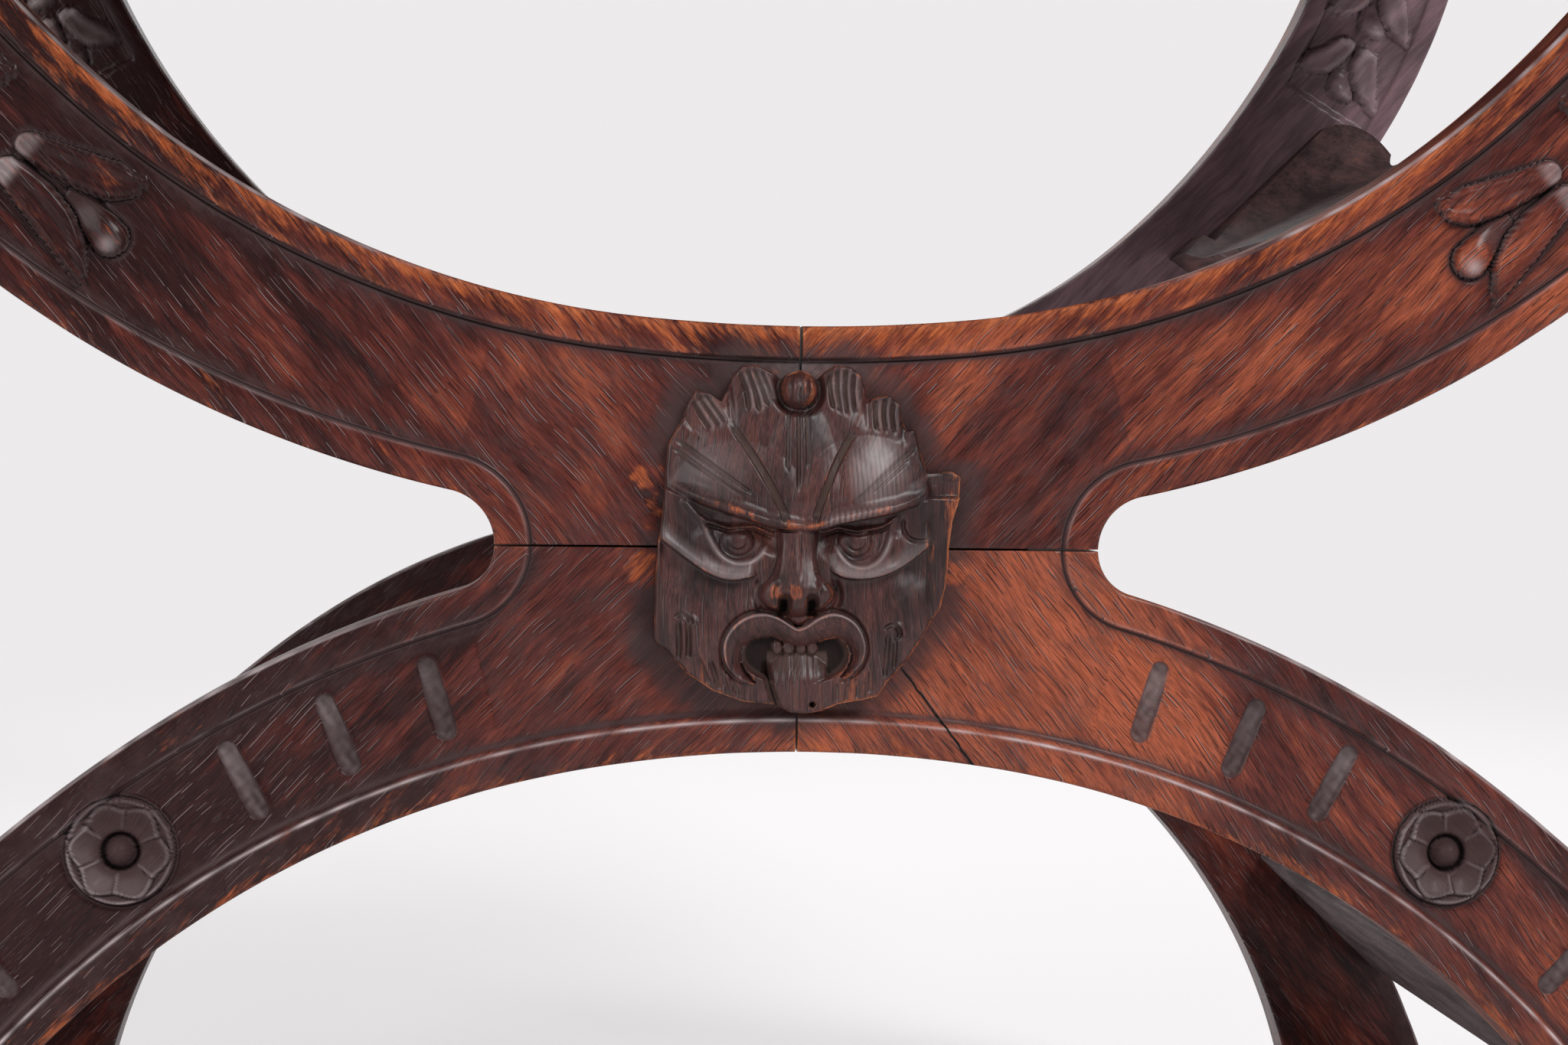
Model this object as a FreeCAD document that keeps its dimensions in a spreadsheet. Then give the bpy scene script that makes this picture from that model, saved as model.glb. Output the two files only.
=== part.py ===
import FreeCAD, Part
import Sketcher
import os
from math import acos, atan2, cos, degrees, pi, radians, sin
from types import SimpleNamespace

# Savonarola armchair of carved oak. Two X-shaped frames, front and rear, each of four curved
# quadrants that butt at the crossing, are held apart by side rails and a turned centre stretcher.
# X runs across the chair, Y from front to back, Z up; the origin is on the floor under the middle.

# Driving dimensions, in millimetres and degrees
DIMENSIONS = {
    # Both frames
    "crossing_height": 255.0,
    "chair_depth": 448.0,
    "board_thickness": 18.0,
    "border_width": 7.6,
    "field_depth": 1.6,
    "notch_half_width": 69.6,
    # Inner edge of the arms, as tangent arcs that begin at the middle of the U
    "arm_inner_base": 50.9,
    "arm_inner_radius_a": 393.0,
    "arm_inner_angle_a": 5.6,
    "arm_inner_radius_b": 217.2,
    "arm_inner_angle_b": 41.2,
    "arm_inner_radius_c": 280.7,
    "arm_inner_angle_c": 62.0,
    "arm_inner_radius_d": 200.0,
    "arm_inner_radius_e": 650.0,
    "upright_angle": 90.0,
    # Outer edge of the arms
    "arm_outer_shift": 22.3,
    "arm_outer_base": 6.4,
    "arm_outer_radius_a": 271.3,
    "arm_outer_angle_a": 48.4,
    "arm_outer_radius_b": 321.0,
    "arm_outer_angle_b": 62.0,
    "arm_outer_radius_c": 251.7,
    "arm_outer_radius_d": 701.7,
    "arm_top_height": 430.0,
    # Edges of the legs, below the crossing
    "leg_inner_base": 47.0,
    "leg_inner_radius_a": 288.0,
    "leg_inner_angle_a": 9.8,
    "leg_inner_radius_b": 224.5,
    "leg_outer_base": -1.0,
    "leg_outer_radius_a": 271.5,
    "leg_outer_angle_a": 35.5,
    "leg_outer_radius_b": 348.2,
    # Carving on the front faces
    "gouge_width": 4.6,
    "gouge_length": 19.6,
    "gouge_depth": 1.4,
    "ornament_offset": 22.9,
    "first_gouge_angle": 16.8,
    "gouge_step_angle": 5.5,
    "rosette_gap_angle": 7.4,
    "gouge_gap_angle": 9.2,
    "rosette_radius": 12.0,
    "rosette_height": 1.1,
    "rosette_boss_radius": 3.9,
    "rosette_boss_height": 2.6,
    "husk_start_angle": 37.5,
    "husk_pitch": 39.5,
    "husk_length": 38.0,
    "husk_width": 30.0,
    "husk_relief": 1.5,
    "rear_husk_pitch": 26.6,
    "rear_husk_length": 25.6,
    "rear_field_rise": 8.0,
    "field_end_margin": 16.0,
    # Joinery
    "joint_gap": 0.2,
    "glue_gap": 0.15,
    "dowel_radius": 3.0,
    "seam_dowel_depth": 17.0,
    "seam_dowel_height": 25.0,
    "dowel_depth": 11.0,
    "tenon_length": 14.0,
    "tenon_thickness": 9.0,
    "tenon_shoulder": 8.0,
    "tenon_overlap": 9.0,
    "peg_radius": 2.5,
    # Blocks behind the crossings, with their screws, and the turned stretcher
    "block_width": 112.0,
    "block_height": 72.0,
    "block_thickness": 16.0,
    "block_chamfer": 3.0,
    "screw_radius": 2.0,
    "screw_head_radius": 4.0,
    "screw_head_depth": 2.4,
    "screw_length": 26.0,
    "screw_inset": 13.0,
    "spigot_radius": 9.0,
    "spigot_length": 12.0,
    "stretcher_radius": 15.0,
    "stretcher_neck_radius": 9.5,
    "stretcher_ball_radius": 19.0,
    "stretcher_end_length": 34.0,
    # Applied mask
    "mask_width": 72.0,
    "mask_height": 79.0,
    "mask_shift": 2.6,
    "mask_rise": 2.8,
    "mask_base_thickness": 5.0,
    "mask_face_thickness": 5.0,
    "mask_nose_radius": 9.0,
    "mask_nose_height": 13.6,
    "mask_brow_thickness": 11.5,
    "mask_pin_radius": 1.6,
    "mask_pin_spread": 18.0,
    "mask_pin_rise": 8.0,
    "mask_pin_length": 12.0,
    "mask_pin_reach": 4.0,
    # Side rails between the frames
    "upper_rail_start_angle": 44.7,
    "upper_rail_end_angle": 57.0,
    "upper_rail_inset": 21.0,
    "upper_rail_end_inset": 28.7,
    "upper_rail_crown": 6.5,
    "upper_rail_bead": 4.0,
    "upper_rail_bead_angle": 2.2,
    "upper_rail_dish_angle": 26.8,
    "upper_rail_dish_depth": 3.4,
    "upper_rail_dish_end": 5.0,
    "upper_rail_dish_radius": 48.0,
    "lower_rail_inside_rise": 70.8,
    "lower_rail_inset": 22.0,
    "lower_rail_top_rise": 99.0,
    "lower_rail_bottom_rise": 40.9,
    "lower_rail_foot": 5.0,
    "side_rail_round": 1.4,
    # Seat
    "bearer_width": 30.0,
    "bearer_height": 18.0,
    "bearer_offset": 238.0,
    "bearer_bottom": 204.0,
    "seat_board_thickness": 16.0,
    "seat_board_chamfer": 1.2,
    "seat_board_count": 4,
    "seat_tongue_width": 6.0,
    "seat_tongue_thickness": 5.0,
    "seat_rail_height": 34.0,
    "seat_rail_clearance": 0.4,
    "seat_rail_border": 6.0,
    "seat_gouge_pitch": 13.0,
    "seat_screw_length": 26.0,
    # Arm rests
    "arm_rest_width": 62.0,
    "arm_rest_thickness": 26.0,
    "arm_rest_overhang": 31.0,
    "arm_rest_knuckle_radius": 16.0,
    "arm_rest_dip": 3.0,
    "arm_rest_round": 6.0,
    "arm_rest_knuckle_lip": 2.0,
    "arm_rest_knuckle_round": 1.5,
    # Runner feet and their glides
    "runner_overhang": 26.0,
    "runner_height": 31.0,
    "runner_width": 64.0,
    "runner_relief": 12.0,
    "runner_end_length": 85.0,
    "runner_end_round": 14.0,
    "runner_round": 5.0,
    "glide_thickness": 5.0,
    "glide_length": 62.0,
    "glide_width": 54.0,
    "glide_inset": 6.0,
    # Lift-off back
    "back_gap": 0.3,
    "back_setback": 14.0,
    "back_thickness": 18.0,
    "back_tenon_width": 30.0,
    "back_tenon_thickness": 10.0,
    "back_stile_width": 42.0,
    "back_stile_height": 190.0,
    "back_rail_height": 32.0,
    "back_crest_height": 42.0,
    "back_crest_rise": 42.0,
    "back_panel_thickness": 8.0,
    "back_groove_depth": 6.0,
    "back_rail_rise": 16.0,
    "back_rail_tenon": 20.0,
    "back_edge_round": 2.5,
    "overrun": 1.0,
}

# Outline of the mask, clockwise from the bead at the top, in shares of its half width and half height
MASK_OUTLINE_SHARES = [
    (-0.02, 0.98), (0.18, 1.00), (0.36, 0.98), (0.46, 0.84), (0.62, 0.84), (0.70, 0.62),
    (0.78, 0.37), (0.97, 0.37), (0.97, 0.16), (0.88, 0.10), (0.86, -0.32), (0.68, -0.64),
    (0.46, -0.87), (0.06, -0.99), (-0.16, -1.00), (-0.40, -0.96), (-0.72, -0.83), (-0.96, -0.65),
    (-0.97, -0.02), (-0.94, 0.20), (-0.92, 0.50), (-0.88, 0.64), (-0.74, 0.84), (-0.56, 0.84),
    (-0.47, 0.98), (-0.25, 0.98),
]
# Where the seam dowels stand along the neck, in shares of its half width
SEAM_DOWEL_SHARES = (0.42, 0.72)
# Where the dowels stand along a side rail's section, across a seat bearer, and up the ends of a seat rail
RAIL_DOWEL_SHARES = (0.22, 0.66)
BEARER_DOWEL_SHARES = (0.25, 0.75)
SEAT_RAIL_DOWEL_SHARES = (0.52, 0.84)
# Size of the mask's face against its base, and where its brow and nose lie in its height
MASK_FACE_SHARE = 0.80
MASK_BROW_SHARES = (0.02, 0.30)
MASK_NOSE_SHARE = -0.16
# Half outline of a husk from its base to its tips, along and across, in shares of its length and half width
HUSK_SHARES = ((-0.50, 0.10), (-0.10, 0.80), (0.34, 0.92), (0.20, 0.40), (0.50, 0.0))

# Shares of the stretcher's vase, of the mask and of the other carving
STRETCHER_SWELL_SHARE = 0.4
MASK_DOME_SHARE = 0.97
MASK_MOUTH_SHARES = ((-0.42, -0.62), (0.0, -0.28), (0.42, -0.62))
SEAT_GOUGE_SHARE = 0.82
BACK_ROSETTE_SHARE = 0.62
FULL_TURN = 360.0
# How far the first husk's middle stands above the lower end of the rear arms' field, in shares of its length
HUSK_REACH_SHARE = 0.62

SIDES = {"left": -1, "right": 1}
ROWS = ("front", "rear")

doc = FreeCAD.newDocument("savonarola_chair")
sheet = doc.addObject("Spreadsheet::Sheet", "Dims")
for row, (alias, value) in enumerate(DIMENSIONS.items(), start=1):
    sheet.set(f"A{row}", alias)
    sheet.set(f"B{row}", str(value))
    sheet.setAlias(f"B{row}", alias)
doc.recompute()
dim = SimpleNamespace(**{alias: float(sheet.get(alias)) for alias in DIMENSIONS})

PARTS = {}


def vec(x, y, z):
    return FreeCAD.Vector(x, y, z)


# Edges of the limbs


class Edge:
    """A chain of tangent arcs. Angles are the slope of the edge; an offset is away from the arcs' centres."""

    def __init__(self, shift, base, steps):
        self.arcs = []
        radius = steps[0][0]
        centre = (shift, base + radius)
        begin = 0.0
        for radius_next, until in steps:
            a = radians(begin)
            change = radius - radius_next
            centre = (centre[0] + change * sin(a), centre[1] - change * cos(a))
            radius = radius_next
            self.arcs.append((centre, radius, begin, until))
            begin = until

    def arc_at(self, angle):
        for arc in self.arcs:
            if angle <= arc[3]:
                return arc
        return self.arcs[-1]

    def point(self, angle, offset=0.0):
        centre, radius, _, _ = self.arc_at(angle)
        a = radians(angle)
        return (centre[0] + (radius + offset) * sin(a), centre[1] - (radius + offset) * cos(a))

    def angle_at_height(self, height, offset=0.0):
        for centre, radius, begin, until in self.arcs:
            share = (centre[1] - height) / (radius + offset)
            if abs(share) <= 1.0:
                angle = degrees(acos(share))
                if begin <= angle <= until:
                    return angle
        raise ValueError(f"the edge does not reach {height}")

    def pieces(self, low, high, offset=0.0):
        """Start, middle and end points of the arcs between two angles."""
        found = []
        for centre, radius, begin, until in self.arcs:
            a, b = max(low, begin), min(high, until)
            if b <= a:
                continue
            points = []
            for angle in (a, (a + b) / 2, b):
                t = radians(angle)
                r = radius + offset
                points.append((centre[0] + r * sin(t), centre[1] - r * cos(t)))
            found.append(tuple(points))
        return found

    def angle_after(self, angle, length, offset=0.0):
        """The angle reached by walking a length along the edge."""
        for _, radius, _, until in self.arcs:
            if angle >= until:
                continue
            step = degrees(length / (radius + offset))
            if angle + step <= until:
                return angle + step
            length -= radians(until - angle) * (radius + offset)
            angle = until
        return angle


LAST_ANGLE = 180.0
ARM_INNER = Edge(0.0, dim.arm_inner_base, [
    (dim.arm_inner_radius_a, dim.arm_inner_angle_a),
    (dim.arm_inner_radius_b, dim.arm_inner_angle_b),
    (dim.arm_inner_radius_c, dim.arm_inner_angle_c),
    (dim.arm_inner_radius_d, dim.upright_angle),
    (dim.arm_inner_radius_e, LAST_ANGLE),
])
ARM_OUTER = Edge(dim.arm_outer_shift, dim.arm_outer_base, [
    (dim.arm_outer_radius_a, dim.arm_outer_angle_a),
    (dim.arm_outer_radius_b, dim.arm_outer_angle_b),
    (dim.arm_outer_radius_c, dim.upright_angle),
    (dim.arm_outer_radius_d, LAST_ANGLE),
])
LEG_INNER = Edge(0.0, dim.leg_inner_base, [
    (dim.leg_inner_radius_a, dim.leg_inner_angle_a),
    (dim.leg_inner_radius_b, LAST_ANGLE),
])
LEG_OUTER = Edge(0.0, dim.leg_outer_base, [
    (dim.leg_outer_radius_a, dim.leg_outer_angle_a),
    (dim.leg_outer_radius_b, LAST_ANGLE),
])

# Heights that follow from the driving sizes: of the runners above the floor, of the leg ends below the crossing
RUNNER_TOP = dim.glide_thickness + dim.runner_height
LEG_END = dim.crossing_height - RUNNER_TOP
ARM_END = dim.arm_top_height
FRONT_FACE = -dim.chair_depth / 2
REAR_FACE = dim.chair_depth / 2 - dim.board_thickness
SPAN = REAR_FACE - (FRONT_FACE + dim.board_thickness)
# Slopes of the leg's edges where the lower side rail meets them
LOWER_RAIL_INSIDE = LEG_INNER.angle_at_height(LEG_END - dim.lower_rail_inside_rise)
LOWER_RAIL_TOP = LEG_OUTER.angle_at_height(LEG_END - dim.lower_rail_top_rise)
LOWER_RAIL_BOTTOM = LEG_OUTER.angle_at_height(LEG_END - dim.lower_rail_bottom_rise)


def notch_circle(outer):
    """Radius and centre of the round that joins an outer edge to the crossing's horizontal seam."""
    centre, radius, _, _ = outer.arcs[0]
    along = dim.notch_half_width - centre[0]
    notch_radius = (along ** 2 + centre[1] ** 2 - radius ** 2) / (2 * (radius - along))
    return notch_radius, dim.notch_half_width + notch_radius


def notch_angle(outer):
    """Slope of the outer edge where that round meets it."""
    centre = outer.arcs[0][0]
    _, notch_x = notch_circle(outer)
    return degrees(atan2(notch_x - centre[0], centre[1]))


# Shapes drawn in sketches


def line(p, q):
    return ("line", p, q)


def arc(p, m, q):
    return ("arc", p, m, q)


def polygon(points):
    return [line(p, q) for p, q in zip(points, points[1:] + points[:1])]


def reverse(pieces):
    return [(q, m, p) for p, m, q in reversed(pieces)]


def limb_outline(inner, outer, end, border=0.0):
    """Outline of a quadrant's board, or of the field inside its borders, for the upper right quadrant."""
    notch_radius, notch_x = notch_circle(outer)
    start = notch_angle(outer)
    inner_end = inner.angle_at_height(end, border)
    outer_end = outer.angle_at_height(end, -border)
    inner_pieces = inner.pieces(0.0, inner_end, border)
    outer_pieces = outer.pieces(start, outer_end, -border)
    tip = (notch_x - notch_radius - border, 0.0)
    join = outer_pieces[0][0]
    half = radians((180.0 - degrees(atan2(join[1], join[0] - notch_x))) / 2)
    reach = notch_radius + border
    middle = (notch_x - reach * cos(half), reach * sin(half))
    shape = [arc(*piece) for piece in inner_pieces]
    shape.append(line(inner_pieces[-1][2], outer_pieces[-1][2]))
    shape += [arc(*piece) for piece in reverse(outer_pieces)]
    shape.append(arc(join, middle, tip))
    shape.append(line(tip, (0.0, 0.0)))
    shape.append(line((0.0, 0.0), inner_pieces[0][0]))
    return shape


def rear_field_start():
    """Slope of the arm where the rear arms' field begins, just above the side rail."""
    return ARM_INNER.angle_after(dim.upper_rail_end_angle, dim.rear_field_rise)


def upper_field(end, border):
    """Outline of a field that begins above the side rail and runs up an arm, for the upper right quadrant."""
    start = rear_field_start()
    inner_pieces = ARM_INNER.pieces(start, ARM_INNER.angle_at_height(end, border), border)
    outer_pieces = ARM_OUTER.pieces(start, ARM_OUTER.angle_at_height(end, -border), -border)
    shape = [arc(*piece) for piece in inner_pieces]
    shape.append(line(inner_pieces[-1][2], outer_pieces[-1][2]))
    shape += [arc(*piece) for piece in reverse(outer_pieces)]
    shape.append(line(outer_pieces[0][0], inner_pieces[0][0]))
    return shape


def mirrored(shape, across, up):
    """The same shape in another quadrant."""
    return [(kind, *[(across * x, up * z) for x, z in points]) for kind, *points in shape]


# Building blocks of the bodies


def new_body(name, x=None, y=None, z=None):
    """A body whose place is bound to the sheet."""
    body = doc.addObject("PartDesign::Body", name)
    body.Label = name
    for axis, expression in (("x", x), ("y", y), ("z", z)):
        if expression:
            body.setExpression(f"Placement.Base.{axis}", expression)
    PARTS[name] = body
    return body


def new_sketch(body, name, plane, shape, depth=0.0):
    """A sketch on one of the body's own planes; depth moves it against the plane's normal."""
    sketch = body.newObject("Sketcher::SketchObject", name)
    planes = {feature.Role: feature for feature in body.Origin.OriginFeatures}
    sketch.AttachmentSupport = [(planes[plane], "")]
    sketch.MapMode = "FlatFace"
    sketch.AttachmentOffset = FreeCAD.Placement(vec(0, 0, -depth), FreeCAD.Rotation())
    for kind, *points in shape:
        corners = [vec(a, b, 0) for a, b in points]
        if kind == "line":
            sketch.addGeometry(Part.LineSegment(*corners), False)
        elif kind == "arc":
            sketch.addGeometry(Part.Arc(*corners), False)
    return sketch


def add_circle(sketch, centre, radius, expression):
    number = sketch.addGeometry(Part.Circle(vec(*centre, 0), vec(0, 0, 1), radius), False)
    constraint = sketch.addConstraint(Sketcher.Constraint("Radius", number, radius))
    sketch.setExpression(f"Constraints[{constraint}]", expression)
    return number


def pad(body, sketch, expression, name="Board", reverse_way=False, both_ways=False):
    feature = body.newObject("PartDesign::Pad", name)
    feature.Profile = sketch
    feature.setExpression("Length", expression)
    feature.Reversed = reverse_way
    if both_ways:
        feature.SideType = "Symmetric"
    body.Tip = feature
    return feature


def pocket(body, sketch, expression, name="Field", reverse_way=False, both_ways=False):
    doc.recompute()
    before = body.Shape.Volume
    feature = body.newObject("PartDesign::Pocket", name)
    feature.Profile = sketch
    feature.setExpression("Length", expression)
    feature.Reversed = reverse_way
    if both_ways:
        feature.SideType = "Symmetric"
    body.Tip = feature
    doc.recompute()
    if not feature.Shape.Volume < before:
        raise RuntimeError(f"{body.Label}: {name} cuts nothing")
    return feature


def set_size(feature, side, value):
    """Give a feature a size, as a number or as an expression of the sheet."""
    if isinstance(value, str):
        feature.setExpression(side, value)
    else:
        setattr(feature, side, value)


def block(body, name, low, size, cut=False):
    """A box in the body's own frame, added or cut away."""
    kind = "PartDesign::SubtractiveBox" if cut else "PartDesign::AdditiveBox"
    feature = body.newObject(kind, name)
    for side, value in zip(("Length", "Width", "Height"), size):
        set_size(feature, side, value)
    feature.Placement = FreeCAD.Placement(vec(*low), FreeCAD.Rotation())
    body.Tip = feature
    return feature


AXES = {"x": vec(1, 0, 0), "y": vec(0, 1, 0), "z": vec(0, 0, 1)}


def along(axis, start, sense=1):
    """A placement that turns a cylinder's own axis to lie along X, Y or Z."""
    return FreeCAD.Placement(vec(*start), FreeCAD.Rotation(vec(0, 0, 1), AXES[axis] * sense))


def bore(body, name, axis, start, radius, height, sense=1):
    """A round hole from a point, along an axis."""
    feature = body.newObject("PartDesign::SubtractiveCylinder", name)
    set_size(feature, "Radius", radius)
    set_size(feature, "Height", height)
    feature.Placement = along(axis, start, sense)
    body.Tip = feature
    return feature


def group(name, members):
    """Identical small pieces kept in one node as separate solids."""
    compound = doc.addObject("Part::Compound", name)
    compound.Links = members
    compound.Label = name
    PARTS[name] = compound
    return compound


def rod(name, axis, start, radius, height, sense=1):
    feature = doc.addObject("Part::Cylinder", name)
    set_size(feature, "Radius", radius)
    set_size(feature, "Height", height)
    feature.Placement = along(axis, start, sense)
    return feature


# Carving on a limb's face


def gouge_angles():
    """Slopes of the gouges down a front leg and of the rosettes between their groups of three."""
    gouges, rosettes = [], []
    angle = dim.first_gouge_angle
    while True:
        group_angles = [angle + dim.gouge_step_angle * n for n in range(3)]
        rosette = group_angles[-1] + dim.rosette_gap_angle
        low_point = LEG_INNER.point(rosette, dim.ornament_offset)[1] + dim.rosette_radius
        if low_point > LEG_END - dim.field_end_margin:
            return gouges, rosettes
        gouges += group_angles
        rosettes.append(rosette)
        angle = rosette + dim.gouge_gap_angle


def turned(points, centre, direction):
    """Points given along and across a direction, placed about a centre."""
    dx, dz = direction
    return [(centre[0] + a * dx - b * dz, centre[1] + a * dz + b * dx) for a, b in points]


def gouge_shape(angle):
    """A slot with round ends that points across the limb."""
    half = (dim.gouge_length - dim.gouge_width) / 2
    r = dim.gouge_width / 2
    local = [(-half, -r), (half, -r), (half + r, 0.0), (half, r), (-half, r), (-half - r, 0.0)]
    t = radians(angle)
    centre = LEG_INNER.point(angle, dim.ornament_offset)
    a, b, c, d, e, f = turned(local, centre, (sin(t), -cos(t)))
    return [line(a, b), arc(b, c, d), line(d, e), arc(e, f, a)]


def rosette_shape(centre):
    """Six round petals about a centre."""
    valley = dim.rosette_radius * cos(pi / 6)
    shape = []
    for n in range(6):
        corners = []
        for k, r in ((0.0, valley), (0.5, dim.rosette_radius), (1.0, valley)):
            t = (n + k) * pi / 3
            corners.append((centre[0] + r * cos(t), centre[1] + r * sin(t)))
        shape.append(arc(*corners))
    return shape


def husk_length(row):
    return dim.husk_length if row == "front" else dim.rear_husk_length


def husk_places(row):
    """Slopes along the arm of the husks of the chain, which begins above the rail on the rear arms."""
    places = []
    if row == "front":
        angle, pitch = dim.husk_start_angle, dim.husk_pitch
    else:
        reach = HUSK_REACH_SHARE * dim.rear_husk_length
        angle = ARM_INNER.angle_after(rear_field_start(), reach, dim.ornament_offset)
        pitch = dim.rear_husk_pitch
    last = ARM_INNER.angle_at_height(ARM_END - dim.field_end_margin - husk_length(row) / 2, dim.ornament_offset)
    while angle < last:
        places.append(angle)
        angle = ARM_INNER.angle_after(angle, pitch, dim.ornament_offset)
    return places


def husk_shape(angle, length):
    """A three-lobed husk whose tips point down the limb."""
    t = radians(angle)
    centre = ARM_INNER.point(angle, dim.ornament_offset)
    half = dim.husk_width / 2
    side = [(a * length, b * half) for a, b in HUSK_SHARES]
    other = [(a, -b) for a, b in side]
    direction = (-cos(t), -sin(t))
    base, bulge, tip, valley, middle = turned(side, centre, direction)
    base2, bulge2, tip2, valley2, _ = turned(other, centre, direction)
    return [
        arc(base, bulge, tip), line(tip, valley), line(valley, middle), line(middle, valley2),
        line(valley2, tip2), arc(tip2, bulge2, base2), line(base2, base),
    ]


# Side rails: their sections and the places of their dowels


def upper_rail_points():
    start, stop = dim.upper_rail_start_angle, dim.upper_rail_end_angle
    foot = ARM_INNER.point(start, dim.upper_rail_inset)
    head = ARM_INNER.point(stop, dim.upper_rail_end_inset)
    return foot, head


def upper_rail_section():
    start, stop = dim.upper_rail_start_angle, dim.upper_rail_end_angle
    bead_start = start - dim.upper_rail_bead_angle
    foot, head = upper_rail_points()
    bead_inset = dim.upper_rail_inset - dim.upper_rail_bead
    bead_low = ARM_INNER.point(bead_start, bead_inset)
    bead_high = ARM_INNER.point(start, bead_inset)
    outer = ARM_OUTER.pieces(bead_start, stop)
    top = outer[-1][2]
    t = radians(stop)
    crown = (
        (head[0] + top[0]) / 2 + dim.upper_rail_crown * cos(t),
        (head[1] + top[1]) / 2 + dim.upper_rail_crown * sin(t),
    )
    shape = [line(bead_low, bead_high), line(bead_high, foot), line(foot, head), arc(head, crown, top)]
    shape += [arc(*piece) for piece in reverse(outer)]
    shape.append(line(outer[0][0], bead_low))
    return shape


def lower_rail_section():
    foot = LEG_INNER.point(LOWER_RAIL_INSIDE, dim.lower_rail_inset)
    outer = LEG_OUTER.pieces(LOWER_RAIL_TOP, LOWER_RAIL_BOTTOM)
    end = outer[-1][2]
    t = radians(LOWER_RAIL_BOTTOM)
    heel = (end[0] - dim.lower_rail_foot * sin(t), end[1] + dim.lower_rail_foot * cos(t))
    shape = [line(foot, heel), line(heel, end)]
    shape += [arc(*piece) for piece in reverse(outer)]
    shape.append(line(outer[0][0], foot))
    return shape


def dowel_places(level):
    """Where a side rail's dowels stand in its section, half way through it."""
    places = []
    for share in RAIL_DOWEL_SHARES:
        if level == "upper":
            low, high = upper_rail_points()
            start, stop = dim.upper_rail_start_angle, dim.upper_rail_end_angle
            outside = ARM_OUTER.point(start + share * (stop - start))
        else:
            low = LEG_INNER.point(LOWER_RAIL_INSIDE, dim.lower_rail_inset)
            high = LEG_OUTER.point(LOWER_RAIL_BOTTOM)
            outside = LEG_OUTER.point(LOWER_RAIL_TOP + share * (LOWER_RAIL_BOTTOM - LOWER_RAIL_TOP))
        inside = (low[0] + share * (high[0] - low[0]), low[1] + share * (high[1] - low[1]))
        places.append(((inside[0] + outside[0]) / 2, (inside[1] + outside[1]) / 2))
    return places


def bearer_places():
    """Where the seat bearers' dowels stand, measured from the crossing."""
    height = dim.bearer_bottom + dim.bearer_height / 2
    return [(dim.bearer_offset + dim.bearer_width * share, height) for share in BEARER_DOWEL_SHARES]


def seat_rail_dowels():
    """Where the seat rails' dowels enter the inner edges of the arms."""
    places = []
    for share in SEAT_RAIL_DOWEL_SHARES:
        z = dim.bearer_bottom + share * dim.seat_rail_height
        places.append((ARM_INNER.point(ARM_INNER.angle_at_height(z))[0], z))
    return places


HOLE_RADIUS = "Dims.dowel_radius + Dims.glue_gap"
HOLE_DEPTH = "Dims.dowel_depth + Dims.joint_gap"


# Limbs: the four quadrants of each frame


def carve_arm(body, row, across):
    """The chain of husks in the field of an arm."""
    husks = []
    for angle in husk_places(row):
        husks += mirrored(husk_shape(angle, husk_length(row)), across, 1)
    sketch = new_sketch(body, "HuskOutlines", "XZ_Plane", husks, dim.field_depth)
    pad(body, sketch, "Dims.husk_relief", "Husks")


def carve_leg(body, across):
    """The rosettes and gouges in the field of a leg."""
    gouges, rosettes = gouge_angles()
    centres = [LEG_INNER.point(angle, dim.ornament_offset) for angle in rosettes]
    shapes = [piece for centre in centres for piece in mirrored(rosette_shape(centre), across, -1)]
    pad(body, new_sketch(body, "Petals", "XZ_Plane", shapes, dim.field_depth), "Dims.rosette_height", "Rosettes")
    bosses = new_sketch(body, "BossOutlines", "XZ_Plane", [], dim.field_depth)
    for x, z in centres:
        add_circle(bosses, (across * x, -z), dim.rosette_boss_radius, "Dims.rosette_boss_radius")
    pad(body, bosses, "Dims.rosette_boss_height", "Bosses")
    shapes = [piece for angle in gouges for piece in mirrored(gouge_shape(angle), across, -1)]
    sketch = new_sketch(body, "GougeOutlines", "XZ_Plane", shapes, dim.field_depth)
    pocket(body, sketch, "Dims.gouge_depth", "Gouges")


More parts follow.
